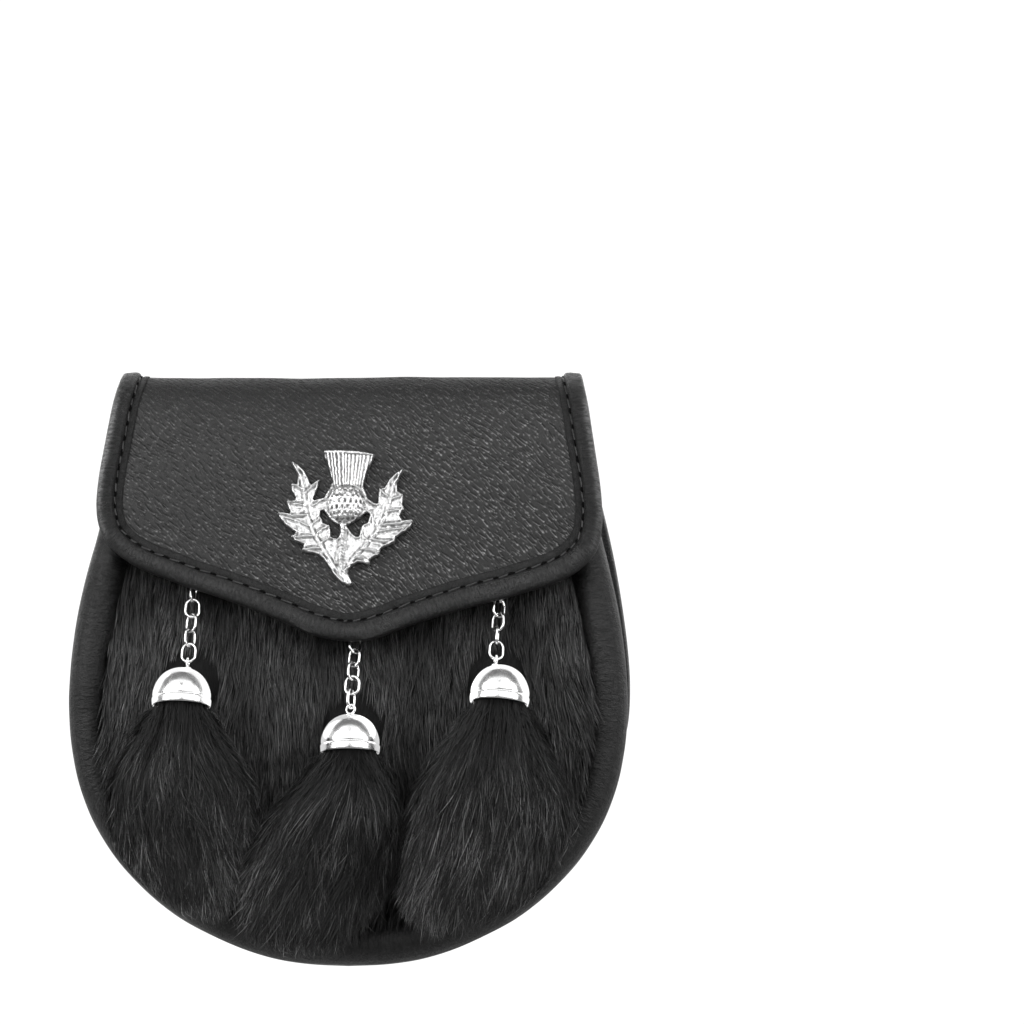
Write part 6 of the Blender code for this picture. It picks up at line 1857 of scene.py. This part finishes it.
# what the bag itself sees: a dim room in front, lighter below, a dimmer ceiling, and the white backdrop behind
coords = nt.nodes.new("ShaderNodeTexCoord")
split = nt.nodes.new("ShaderNodeSeparateXYZ")
nt.links.new(coords.outputs["Generated"], split.inputs[0])
level = None
for axis, low_end, high_end, value in ((2, -0.35, -0.80, 0.40), (1, -0.15, 0.50, 0.66), (2, 0.35, 0.75, 0.19)):
    span = nt.nodes.new("ShaderNodeMapRange")
    span.interpolation_type = "SMOOTHSTEP"
    nt.links.new(split.outputs[axis], span.inputs["Value"])
    span.inputs["From Min"].default_value, span.inputs["From Max"].default_value = low_end, high_end
    blend = nt.nodes.new("ShaderNodeMix")
    nt.links.new(span.outputs[0], blend.inputs[0])
    if level is None:
        blend.inputs[2].default_value = 0.22
    else:
        nt.links.new(level, blend.inputs[2])
    blend.inputs[3].default_value = value
    level = blend.outputs[0]
nt.links.new(level, dim.inputs["Strength"])
path = nt.nodes.new("ShaderNodeLightPath")
mixer = nt.nodes.new("ShaderNodeMixShader")
nt.links.new(path.outputs["Is Camera Ray"], mixer.inputs[0])
nt.links.new(dim.outputs[0], mixer.inputs[1])
nt.links.new(white.outputs[0], mixer.inputs[2])
nt.links.new(mixer.outputs[0], w_out.inputs["Surface"])

CENTRE = Vector((0.0, -0.030, (TOP - 100.0) * MM))


def softbox(name, azimuth, elevation, distance, width, height, radiance, shape="RECTANGLE", target=CENTRE):
    """A rectangular panel aimed at the bag; its brightness is what a mirror would show of it."""
    a, e = math.radians(azimuth), math.radians(elevation)
    light = bpy.data.lights.new(name, "AREA")
    light.shape = shape
    light.size, light.size_y = width, height
    area = width * height * (math.pi / 4 if shape == "ELLIPSE" else 1.0)
    light.energy = radiance * math.pi * area
    obj = bpy.data.objects.new(name, light)
    scene.collection.objects.link(obj)
    direction = Vector((math.sin(a) * math.cos(e), -math.cos(a) * math.cos(e), math.sin(e)))
    obj.location = target + direction * distance
    obj.rotation_mode = "QUATERNION"
    obj.rotation_quaternion = direction.to_track_quat("Z", "Y")
    obj.visible_camera = False
    return obj


softbox("front_left", -33, 27, 0.90, 1.10, 1.15, 1.66, "ELLIPSE")
softbox("front_right", 33, 27, 0.90, 1.10, 1.15, 1.17, "ELLIPSE")
softbox("overhead", 0, 66, 0.90, 1.2, 0.24, 1.0)
softbox("side_left", -61, 15, 0.95, 0.28, 0.80, 5.0)
softbox("side_right", 63, 13, 0.95, 0.26, 0.80, 4.4)
softbox("back_left", -150, 30, 0.95, 0.75, 0.75, 1.2)
softbox("back_right", 150, 30, 0.95, 0.75, 0.75, 1.2)


def bell_card(name, middle, radiance):
    """A pale card beside each cap, seen only in polished metal, so that the cap's flanks don't mirror black fur."""
    light = bpy.data.lights.new(name, "AREA")
    light.shape = "RECTANGLE"
    light.size, light.size_y = 0.090, 0.034
    light.energy = radiance * math.pi * light.size * light.size_y
    obj = bpy.data.objects.new(name, light)
    scene.collection.objects.link(obj)
    obj.location = Vector(middle) * MM
    obj.rotation_mode = "QUATERNION"
    obj.rotation_quaternion = Vector((0, 1, 0)).to_track_quat("Z", "Y")
    obj.visible_camera = obj.visible_diffuse = obj.visible_transmission = False
    return obj


for side, middle in BELL_MIDDLE.items():
    bell_card("card_" + side, middle, {"left": 1.12, "centre": 0.74, "right": 1.20}[side])

# ------------------------------------------------------------------ camera
camera_data = bpy.data.cameras.new("camera")
camera = bpy.data.objects.new("camera", camera_data)
scene.collection.objects.link(camera)
scene.camera = camera
AZ, EL, DISTANCE = 3.2, 1.5, 3.2
SCALE = 0.339               # mm a pixel at the object
camera_data.sensor_width = 36.0
camera_data.lens = 36.0 * DISTANCE * 1000 / (SCALE * 1024)
a, e = math.radians(AZ), math.radians(EL)
away = Vector((math.sin(a) * math.cos(e), -math.cos(a) * math.cos(e), math.sin(e)))
aim_object = Vector((0.0, -0.045, (TOP - 100.0) * MM))
camera.location = aim_object + away * DISTANCE
# where the aimed point falls in the photograph: the object stands left of and below the middle
OBJECT_PX = (347.2, 669.0)
off_x = (512.0 - OBJECT_PX[0]) * SCALE * MM
off_z = (OBJECT_PX[1] - 512.0) * SCALE * MM
right = Vector((math.cos(a), math.sin(a), 0.0))
up = right.cross(-away)
look_at = aim_object + right * off_x + up * off_z
camera.rotation_mode = "QUATERNION"
camera.rotation_quaternion = (camera.location - look_at).to_track_quat("Z", "Y")
camera_data.clip_start, camera_data.clip_end = 0.01, 100.0

scene.view_settings.view_transform = "Standard"
scene.view_settings.look = "None"
scene.view_settings.exposure = 0.0
scene.view_settings.gamma = 1.0
